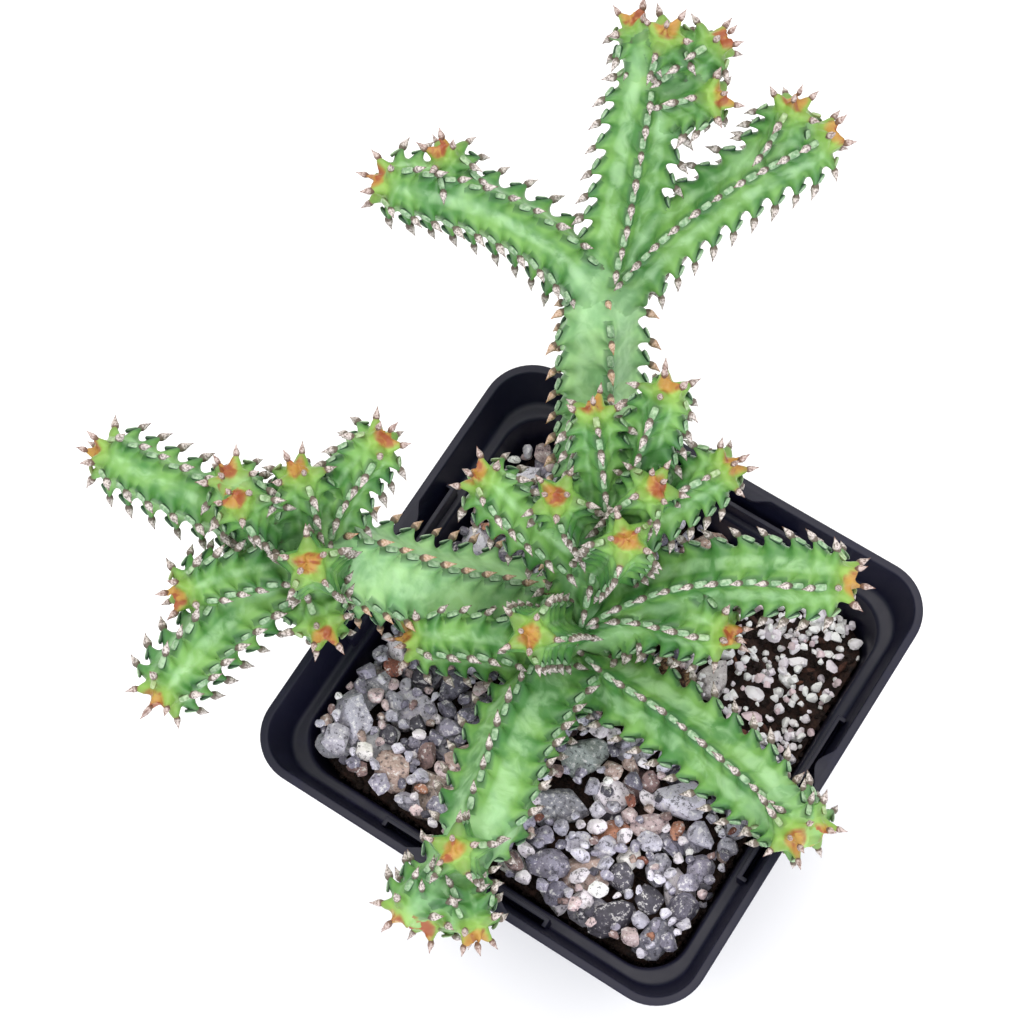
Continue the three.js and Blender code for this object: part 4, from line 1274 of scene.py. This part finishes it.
def footprint(x, y, turn, half_long, half_wide):
    """The grid cells under a stone, and how thick it is there from 0 to 1."""
    i0, i1 = np.searchsorted(grid_line, (x - half_long, x + half_long))
    j0, j1 = np.searchsorted(grid_line, (y - half_long, y + half_long))
    window = (slice(i0, i1), slice(j0, j1))
    dx, dy = grid_x[window] - x, grid_y[window] - y
    c, s = math.cos(turn), math.sin(turn)
    out = ((dx * c + dy * s) / half_long) ** 2 + ((dy * c - dx * s) / half_wide) ** 2
    return window, np.sqrt(np.maximum(1 - out, 0)), out < 1


def rest_level(x, y, turn, sizes):
    """The height at which a stone's middle comes to rest on what is under it."""
    window, dome, under = footprint(x, y, turn, sizes[0] / 2, sizes[1] / 2)
    if not under.any():
        return BLOCKED
    return (bed_height[window] + dome * sizes[2] / 2)[under].max()


def lay(x, y, z, turn, sizes):
    """Adds a stone's top to the grid of heights."""
    window, dome, under = footprint(x, y, turn, sizes[0] / 2, sizes[1] / 2)
    top = np.where(under, z + dome * sizes[2] / 2, -BLOCKED)
    bed_height[window] = np.maximum(bed_height[window], top)


# half the room across its sides and across its corners, at the height of the lowest stones
ROOM_ACROSS = wall_half(SOIL_LEVEL - 6)
ROOM_DIAGONAL = ROOM_ACROSS * math.sqrt(2) - WALL_CORNER * (math.sqrt(2) - 1)
WORN_AWAY = 0.92  # a worn stone's reach over that of its ellipsoid
SINKS_IN = 0.16  # share of its thickness by which a stone beds down


def fits_in_room(x, y, turn, sizes):
    """True if a stone stays clear of the pot's walls and of its rounded corners."""
    half = math.sqrt(0.5)
    c, s = math.cos(turn), math.sin(turn)
    for ux, uy, limit in ((1, 0, ROOM_ACROSS), (0, 1, ROOM_ACROSS), (half, half, ROOM_DIAGONAL)):
        ux, uy = math.copysign(ux, x), math.copysign(uy, y)
        reach = math.hypot(sizes[0] / 2 * (c * ux + s * uy), sizes[1] / 2 * (c * uy - s * ux))
        if x * ux + y * uy + WORN_AWAY * reach > limit:
            return False
    return True

# %% Packing many stones
def pack(dice, count, long_range, tries, allowed, proud=0.0, flat=(0.55, 0.8)):
    """Lays up to `count` stones and gives their places, turns and sizes."""
    laid = []
    for _ in range(count):
        length = dice.uniform(*long_range)
        sizes = np.array((length, length * dice.uniform(0.68, 0.95), length * dice.uniform(*flat)))
        best = None
        for _ in range(tries):
            x, y = dice.uniform(-ROOM_HALF, ROOM_HALF, 2)
            turn = dice.uniform(0, math.pi)
            if not allowed(x, y) or not fits_in_room(x, y, turn, sizes):
                continue
            z = rest_level(x, y, turn, sizes)
            over = z + sizes[2] / 2 - target_level(x, y) - proud
            if over < 0 and (best is None or over < best[0]):
                best = (over, x, y, z, turn)
        if best is None:
            continue
        _, x, y, z, turn = best
        z -= sizes[2] * SINKS_IN
        lay(x, y, z, turn, sizes)
        laid.append((x, y, z, turn, *sizes))
    return np.array(laid)

# %% [markdown]
# ## The large stones
# Thirteen stones are big and clear enough to be pieces of the CAD model. They are made first,
# at the places and sizes they have there, with skins fine enough for a close look.

# %% Large stones
STONES = {
    "granite_stones": ("granite", {
        "long_granite_stone": ((-38, -26), (15, 7, 6), 62, "#a3a3ac"),
        "corner_granite_stone": ((-37, -37), (9, 7, 5), 15, "#b3b3bd"),
        "green_granite_stone": ((5.5, -13), (11, 8.5, 6), 30, "#9aa3a0"),
        "large_granite_stone": ((7, -24), (12.5, 10.5, 7), 10, "#8d8d96"),
        "dark_slate_stone": ((5, -32), (10, 5, 4), 150, "#5b5a66"),
        "rim_granite_stone": ((37, -37), (10, 8, 6), 60, "#8e8e9c"),
        "round_granite_stone": ((-33, 5), (7, 7, 5), 0, "#9a99a6"),
    }),
    "pale_stones": ("pale_stone", {
        "white_speckled_stone": ((-30, -33), (10, 8, 6), 40, "#cfcfd4"),
        "white_quartz_stone": ((6, -39), (8, 6, 5), 5, "#f2efec"),
        "small_quartz_stone": ((24, -26), (7, 5, 4), 70, "#f0eeec"),
        "pale_granite_stone": ((19, 14), (11, 8, 6), 100, "#cdc6c6"),
    }),
    "warm_stones": ("warm_stone", {
        "brown_granite_stone": ((-16, -36), (12, 10.5, 7), 20, "#998981"),
        "pink_granite_stone": ((3, 39), (8, 7, 6), 0, "#b79c8f"),
    }),
}


large_stones = {}
seed = 200
for piece_name, (slot, stones) in STONES.items():
    points, faces, tones, seeds = [], [], [], []
    for (x, y), sizes, degrees, colour in stones.values():
        seed += 1
        shape, skin = worn_stone(4, seed, cuts=14, rough=0.025)
        z = SOIL_LEVEL + surface_rise(x, y) - 0.5
        start = len(points)
        upright_turn = np.array(Matrix.Rotation(math.radians(degrees), 3, "Z"))
        turned_shape = (shape * np.array(sizes) / 2) @ upright_turn.T
        points += (turned_shape + (x, y, z)).tolist()
        faces += [tuple(i + start for i in face) for face in skin]
        tones += [linear(colour)[:3]] * len(shape)
        seeds += [seed % 17 / 17] * len(shape)
        lay(x, y, z, math.radians(degrees), np.array(sizes))
    piece = mesh_object(piece_name, points, faces, values={"tone": np.array(tones),
                                                           "seed": np.array(seeds)})
    piece.data.shade_smooth()
    large_stones[piece_name] = (piece, slot, list(stones))

# %% [markdown]
# ## Colours of the gravel
# Mixed decorative gravel: mostly grey and pale granite with dark mica flecks, then pinkish
# feldspar, tan and orange sandstone, brick-brown chips and a few pieces of white quartz. The
# colour is drawn once for each stone and stored on it, so one material serves them all.

# %% Packing the pebbles and chips
ROCKS = {"#a8a6b4": 5, "#8e8a9b": 5, "#6c6979": 3.5, "#c4c1ce": 5, "#d9d2d9": 4, "#c6b1b3": 3.5,
         "#a8928a": 2, "#866e6c": 2, "#a1705a": 0.7, "#7b4a3c": 0.9, "#f0ecea": 1.2, "#4b4853": 2}
rock_colours = np.array([linear(colour)[:3] for colour in ROCKS])
rock_share = np.array(list(ROCKS.values())) / sum(ROCKS.values())
dice = np.random.default_rng(31)


def gravelled(x, y):
    return bare_share(x, y) < 0.6


beds = {
    "gravel_pebbles": pack(dice, 210, (7, 12), 60, gravelled, proud=2.0, flat=(0.5, 0.8)),
    "gravel_chips": pack(dice, 760, (4, 7), 50, gravelled, proud=1.6),
    "gravel_grit": pack(dice, 1300, (2, 4.2), 30, gravelled, proud=1.2),
}
for name, laid in beds.items():
    print(f"{name}: {len(laid)} laid")

# %% The tree that sets the stones in the bed
bed_tree, given = geometry_tree("stones_in_bed", {"Shapes": "Collection"})
shelf = add(bed_tree, "GeometryNodeCollectionInfo",
            inputs={"Collection": given["Shapes"], "Separate Children": True,
                    "Reset Children": True})
turned_by = add(bed_tree, "FunctionNodeEulerToRotation",
                inputs={"Euler": add(bed_tree, READ, VECTOR, {"Name": "turn"})})
laid_out = add(bed_tree, "GeometryNodeInstanceOnPoints", inputs={
    "Points": given["Geometry"], "Instance": shelf, "Pick Instance": True,
    "Instance Index": add(bed_tree, READ, {"data_type": "INT"}, {"Name": "kind"}),
    "Rotation": turned_by, "Scale": add(bed_tree, READ, VECTOR, {"Name": "stretch"})})
laid_out = add(bed_tree, "GeometryNodeRealizeInstances", inputs={"Geometry": laid_out})
laid_out = add(bed_tree, "GeometryNodeSetShadeSmooth", inputs={"Geometry": laid_out})
laid_out = add(bed_tree, "GeometryNodeSetMaterial",
               inputs={"Geometry": laid_out, "Material": given["Finish"]})
add(bed_tree, "NodeGroupOutput", inputs={0: laid_out})
print("stones_in_bed:", len(bed_tree.nodes), "nodes")

# %% Crushed granite
mixed_granite, tree, shader = material("crushed_mixed_granite")
place = add(tree, "ShaderNodeTexCoord").outputs["Object"]
stone_seed = add(tree, ATTRIBUTE, {"attribute_name": "seed"}).outputs["Fac"]
shift = add(tree, MATH, TIMES, {0: stone_seed, 1: 0.3})
own_place = add(tree, VECTOR_MATH, PLUS, {0: place,
    1: add(tree, "ShaderNodeCombineXYZ", inputs={"X": shift, "Y": shift, "Z": shift})})
tone = add(tree, ATTRIBUTE, {"attribute_name": "tone"}).outputs["Color"]
mineral = add(tree, NOISE, inputs={"Vector": own_place, "Scale": 900.0, "Detail": 3.0,
                                   "Roughness": 0.7})
cloud = add(tree, NOISE, inputs={"Vector": own_place, "Scale": 260.0, "Detail": 4.0})
mica = add(tree, "ShaderNodeTexVoronoi", inputs={"Vector": own_place, "Scale": 1500.0,
                                                 "Randomness": 1.0})
cloudy = add(tree, RANGE, SMOOTH, {0: cloud.outputs["Fac"], 1: 0.4, 2: 0.7, 3: 0.0, 4: 0.4})
darker = add(tree, MIX, {"data_type": "RGBA", "blend_type": "MULTIPLY"},
             {"Factor": cloudy, 6: tone, 7: linear("#b0a8a8")}).outputs[2]
flecked = add(tree, MIX, RGBA, {
    0: add(tree, RANGE, SMOOTH, {0: mineral.outputs["Fac"], 1: 0.55, 2: 0.64, 3: 0.0, 4: 0.75}),
    6: darker, 7: linear("#34333a")}).outputs[2]
flecked = add(tree, MIX, RGBA, {
    0: add(tree, RANGE, SMOOTH, {0: mineral.outputs["Fac"], 1: 0.46, 2: 0.36, 3: 0.0, 4: 0.6}),
    6: flecked, 7: linear("#f1eeee")}).outputs[2]
flecked = add(tree, MIX, RGBA, {
    0: add(tree, RANGE, SMOOTH, {0: mica.outputs["Distance"], 1: 0.22, 2: 0.1, 3: 0.0, 4: 0.5}),
    6: flecked, 7: linear("#3d3b42")}).outputs[2]
pits = add(tree, NOISE, inputs={"Vector": own_place, "Scale": 1700.0, "Detail": 4.0})
pit_bump = add(tree, "ShaderNodeBump", inputs={"Strength": 0.5, "Distance": 0.0003,
                                               "Height": pits.outputs["Fac"]})
wire(tree, shader, {"Base Color": flecked, "Roughness": 0.72, "Normal": pit_bump})

# %% Making the beds
def stone_bed(name, laid, colours, shares, shelf_of_shapes, kinds, finish, tumble=0.2):
    """A point for each stone, with its own turn, size, shape and colour, grown into stones."""
    picks = dice.choice(len(colours), len(laid), p=shares)
    tones = np.minimum(colours[picks] * dice.uniform(0.9, 1.35, (len(laid), 1)), 0.92)
    tilt = dice.normal(0, tumble, (len(laid), 2))
    bed = mesh_object(name, laid[:, :3], values={
        "turn": np.stack([tilt[:, 0], tilt[:, 1], laid[:, 3]], 1), "stretch": laid[:, 4:7] / 2,
        "kind": dice.integers(0, kinds, len(laid)).astype(np.int32), "tone": tones,
        "seed": dice.uniform(0, 1, len(laid))})
    return grow(bed, bed_tree, Shapes=shelf_of_shapes, Finish=finish)


for name, laid in beds.items():
    piece = stone_bed(name, laid, rock_colours, rock_share, shape_shelf, SHAPE_COUNT, mixed_granite)
    nodes = ["gravel_dressing"] if name == "gravel_pebbles" else []
    settle(piece, mixed_granite, "granite", *nodes)
for piece, slot, nodes in large_stones.values():
    settle(piece, mixed_granite, slot, *nodes)

# %% [markdown]
# ## The bare corner: perlite, bark and crumbs
# Where the dressing is missing, the mix shows its parts: white puffed perlite, dark splinters
# of bark and crumbs of peat. Perlite and bark are packed by the same rule as the gravel. The
# crumbs are scattered by a tree over the whole top of the mix, so that the gaps between stones
# aren't smooth either.

# %% Packing perlite and bark
SPLINTER_COUNT = 3
PERLITE = {"#f5f1f7": 6, "#e4dce4": 3, "#dac5cb": 1.5}
perlite_colours = np.array([linear(colour)[:3] for colour in PERLITE])
perlite_share = np.array(list(PERLITE.values())) / sum(PERLITE.values())
BARK = {"#2a1a15": 4, "#4a2c21": 3, "#6b4433": 1}
bark_colours = np.array([linear(colour)[:3] for colour in BARK])
bark_share = np.array(list(BARK.values())) / sum(BARK.values())


def bare(x, y):
    return bare_share(x, y) > 0.08


bark_laid = pack(dice, 130, (2.5, 7), 4, bare, proud=0.4, flat=(0.5, 0.8))
perlite_laid = np.vstack([pack(dice, 90, (3.2, 6.2), 6, bare, proud=1.6, flat=(0.5, 0.8)),
                          pack(dice, 600, (1, 3), 6, bare, proud=1.6, flat=(0.6, 0.9))])
perlite_laid[:, 2] -= perlite_laid[:, 6] * 0.12  # perlite is pressed in deeper than stone
print(len(perlite_laid), "perlite grains,", len(bark_laid), "splinters")
splinter_shelf = bpy.data.collections.new("splinter_shapes")
for k in range(SPLINTER_COUNT):
    points, faces = worn_stone(1, 90 + k, cuts=6)
    put_on_shelf(mesh_object(f"splinter_shape_{k}", points * (1, 0.36, 0.3), faces),
                 splinter_shelf)

# %% Puffed perlite
puffed_perlite, tree, shader = material("puffed_perlite")
place = add(tree, "ShaderNodeTexCoord").outputs["Object"]
tone = add(tree, ATTRIBUTE, {"attribute_name": "tone"}).outputs["Color"]
stain = add(tree, NOISE, inputs={"Vector": place, "Scale": 700.0, "Detail": 4.0})
stained = add(tree, MIX, RGBA, {
    0: add(tree, RANGE, SMOOTH, {0: stain.outputs["Fac"], 1: 0.55, 2: 0.75, 3: 0.0, 4: 0.55}),
    6: tone, 7: linear("#8d7064")}).outputs[2]
foam = add(tree, NOISE, inputs={"Vector": place, "Scale": 2200.0, "Detail": 3.0})
foam_bump = add(tree, "ShaderNodeBump", inputs={"Strength": 0.6, "Distance": 0.0003,
                                                "Height": foam.outputs["Fac"]})
wire(tree, shader, {"Base Color": stained, "Roughness": 0.88, "Normal": foam_bump})

# %% Shredded bark
shredded_bark, tree, shader = material("shredded_pine_bark")
place = add(tree, "ShaderNodeTexCoord").outputs["Object"]
tone = add(tree, ATTRIBUTE, {"attribute_name": "tone"}).outputs["Color"]
fibre = add(tree, NOISE, inputs={"Vector": place, "Scale": 1400.0, "Detail": 4.0})
fibrous = add(tree, RANGE, SMOOTH, {0: fibre.outputs["Fac"], 1: 0.35, 2: 0.65, 3: 0.0, 4: 0.7})
barky = add(tree, MIX, {"data_type": "RGBA", "blend_type": "MULTIPLY"},
            {"Factor": fibrous, 6: tone, 7: linear("#7a6a60")}).outputs[2]
fibre_bump = add(tree, "ShaderNodeBump", inputs={"Strength": 0.7, "Distance": 0.0003,
                                                 "Height": fibre.outputs["Fac"]})
wire(tree, shader, {"Base Color": barky, "Roughness": 0.8, "Normal": fibre_bump})

# %% Making the perlite and the bark
grains = stone_bed("perlite_grains", perlite_laid, perlite_colours, perlite_share, shape_shelf,
                   SHAPE_COUNT, puffed_perlite, tumble=0.6)
settle(grains, puffed_perlite, "potting_mix")
splinters = stone_bed("bark_splinters", bark_laid, bark_colours, bark_share, splinter_shelf,
                      SPLINTER_COUNT, shredded_bark)
settle(splinters, shredded_bark, "potting_mix")

# %% Crumbs of peat
crumb_points, crumb_faces = worn_stone(1, 300, cuts=4)
crumb = mesh_object("crumb_shape", crumb_points, crumb_faces, values={
    "tone": np.tile(linear("#2b1c17")[:3], (len(crumb_points), 1))})
CRUMBS_FROM = (SOIL_LEVEL - 12) * MM  # crumbs lie only on the mix's top
crumb_tree, given = geometry_tree("peat_crumbs", {
    "Crumbs per square metre": 350000.0, "Smallest": 0.3, "Largest": 0.95, "Seed": 4,
    "Crumb": "Object"})
tree = crumb_tree
height = add(tree, "ShaderNodeSeparateXYZ", inputs={
    "Vector": add(tree, "GeometryNodeInputPosition")}).outputs["Z"]
upper = add(tree, MATH, {"operation": "GREATER_THAN"}, {0: height, 1: CRUMBS_FROM})
spread = add(tree, "GeometryNodeDistributePointsOnFaces", inputs={
    "Mesh": given["Geometry"], "Selection": upper, "Density": given["Crumbs per square metre"],
    "Seed": given["Seed"]})
size = add(tree, "FunctionNodeRandomValue", {"data_type": "FLOAT"},
           {2: given["Smallest"], 3: given["Largest"], "Seed": 8})
angle = add(tree, "FunctionNodeRandomValue", {"data_type": "FLOAT_VECTOR"},
            {1: (6.28, 6.28, 6.28), "Seed": 9})
one = add(tree, "GeometryNodeObjectInfo", inputs={"Object": given["Crumb"], "As Instance": True})
strewn = add(tree, "GeometryNodeInstanceOnPoints", inputs={
    "Points": spread, "Instance": one.outputs["Geometry"], "Scale": size.outputs[1],
    "Rotation": add(tree, "FunctionNodeEulerToRotation", inputs={"Euler": angle.outputs[0]})})
strewn = add(tree, "GeometryNodeRealizeInstances", inputs={"Geometry": strewn})
strewn = add(tree, "GeometryNodeSetMaterial",
             inputs={"Geometry": strewn, "Material": given["Finish"]})
add(tree, "NodeGroupOutput", inputs={0: strewn})
crumbs = bpy.data.objects.new("peat_crumbs", mix.data.copy())
bpy.context.scene.collection.objects.link(crumbs)
grow(crumbs, crumb_tree, Crumb=crumb, Finish=shredded_bark)
settle(crumbs, shredded_bark, "potting_mix")
bpy.data.objects.remove(crumb)

# %% [markdown]
# ## The dead stump
# Beside the crown stands what is left of an old stem: a knot of corky lumps, brown with tan
# blisters. The lumps are separate rough balls that one voxel remesh joins.

# %% Corky stump
STUMP = np.array((12, 8))
LUMPS = [(0, 0, 1, 3.4), (2.6, 1.8, 3, 3.0), (-1.5, 2.6, 3.4, 2.7), (1.2, -2.2, 3, 2.9),
         (3.6, -0.8, 0.6, 3.1), (0.8, 0.6, 4.6, 2.3)]
points, faces = [], []
for k, (x, y, z, size) in enumerate(LUMPS):
    shape, skin = worn_stone(4, 400 + k, cuts=5, rough=0.12)
    start = len(points)
    base = SOIL_LEVEL + surface_rise(*STUMP)
    points += (shape * size + (STUMP[0] + x, STUMP[1] + y, base + z)).tolist()
    faces += [tuple(i + start for i in face) for face in skin]
stump = mesh_object("corky_stump", points, faces)
join = stump.modifiers.new("join", "REMESH")
join.mode = "VOXEL"
join.voxel_size = 0.3 * MM
plain_mesh(stump, "corky_stump")
skin_points = places(stump.data)
normals = np.array([v.normal for v in stump.data.vertices])
skin_points = skin_points + normals * (lumps(skin_points, 2.2, 77) * 0.55)[:, None]
stump.data.vertices.foreach_set("co", (skin_points * MM).ravel())
stump.data.update()
stump.data.shade_smooth()

# %% Dead cork
dead_cork, tree, shader = material("dead_corky_stem")
place = add(tree, "ShaderNodeTexCoord").outputs["Object"]
blister = add(tree, NOISE, inputs={"Vector": place, "Scale": 420.0, "Detail": 5.0,
                                   "Roughness": 0.7})
bark_colour = add(tree, MIX, RGBA, {
    0: add(tree, RANGE, SMOOTH, {0: blister.outputs["Fac"], 1: 0.4, 2: 0.62}), 6: linear("#3f2519"),
    7: linear("#a98862")}).outputs[2]
cracks = add(tree, "ShaderNodeTexVoronoi", {"feature": "DISTANCE_TO_EDGE"},
             {"Vector": place, "Scale": 650.0})
bark_colour = add(tree, MIX, RGBA, {
    0: add(tree, RANGE, SMOOTH, {0: cracks.outputs["Distance"], 1: 0.12, 2: 0.02, 3: 0.0, 4: 0.8}),
    6: bark_colour, 7: linear("#20120d")}).outputs[2]
cork_bump = add(tree, "ShaderNodeBump", inputs={"Strength": 0.8, "Distance": 0.0004,
                                                "Height": blister.outputs["Fac"]})
wire(tree, shader, {"Base Color": bark_colour, "Roughness": 0.85, "Normal": cork_bump})
settle(stump, dead_cork, "cork", "old_stump")

# %% Clearing away the shapes that were copied
for shelf_used in (shape_shelf, splinter_shelf):
    for shape in list(shelf_used.objects):
        bpy.data.objects.remove(shape)
    bpy.data.collections.remove(shelf_used)

# %% The size of the finished model
low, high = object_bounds()
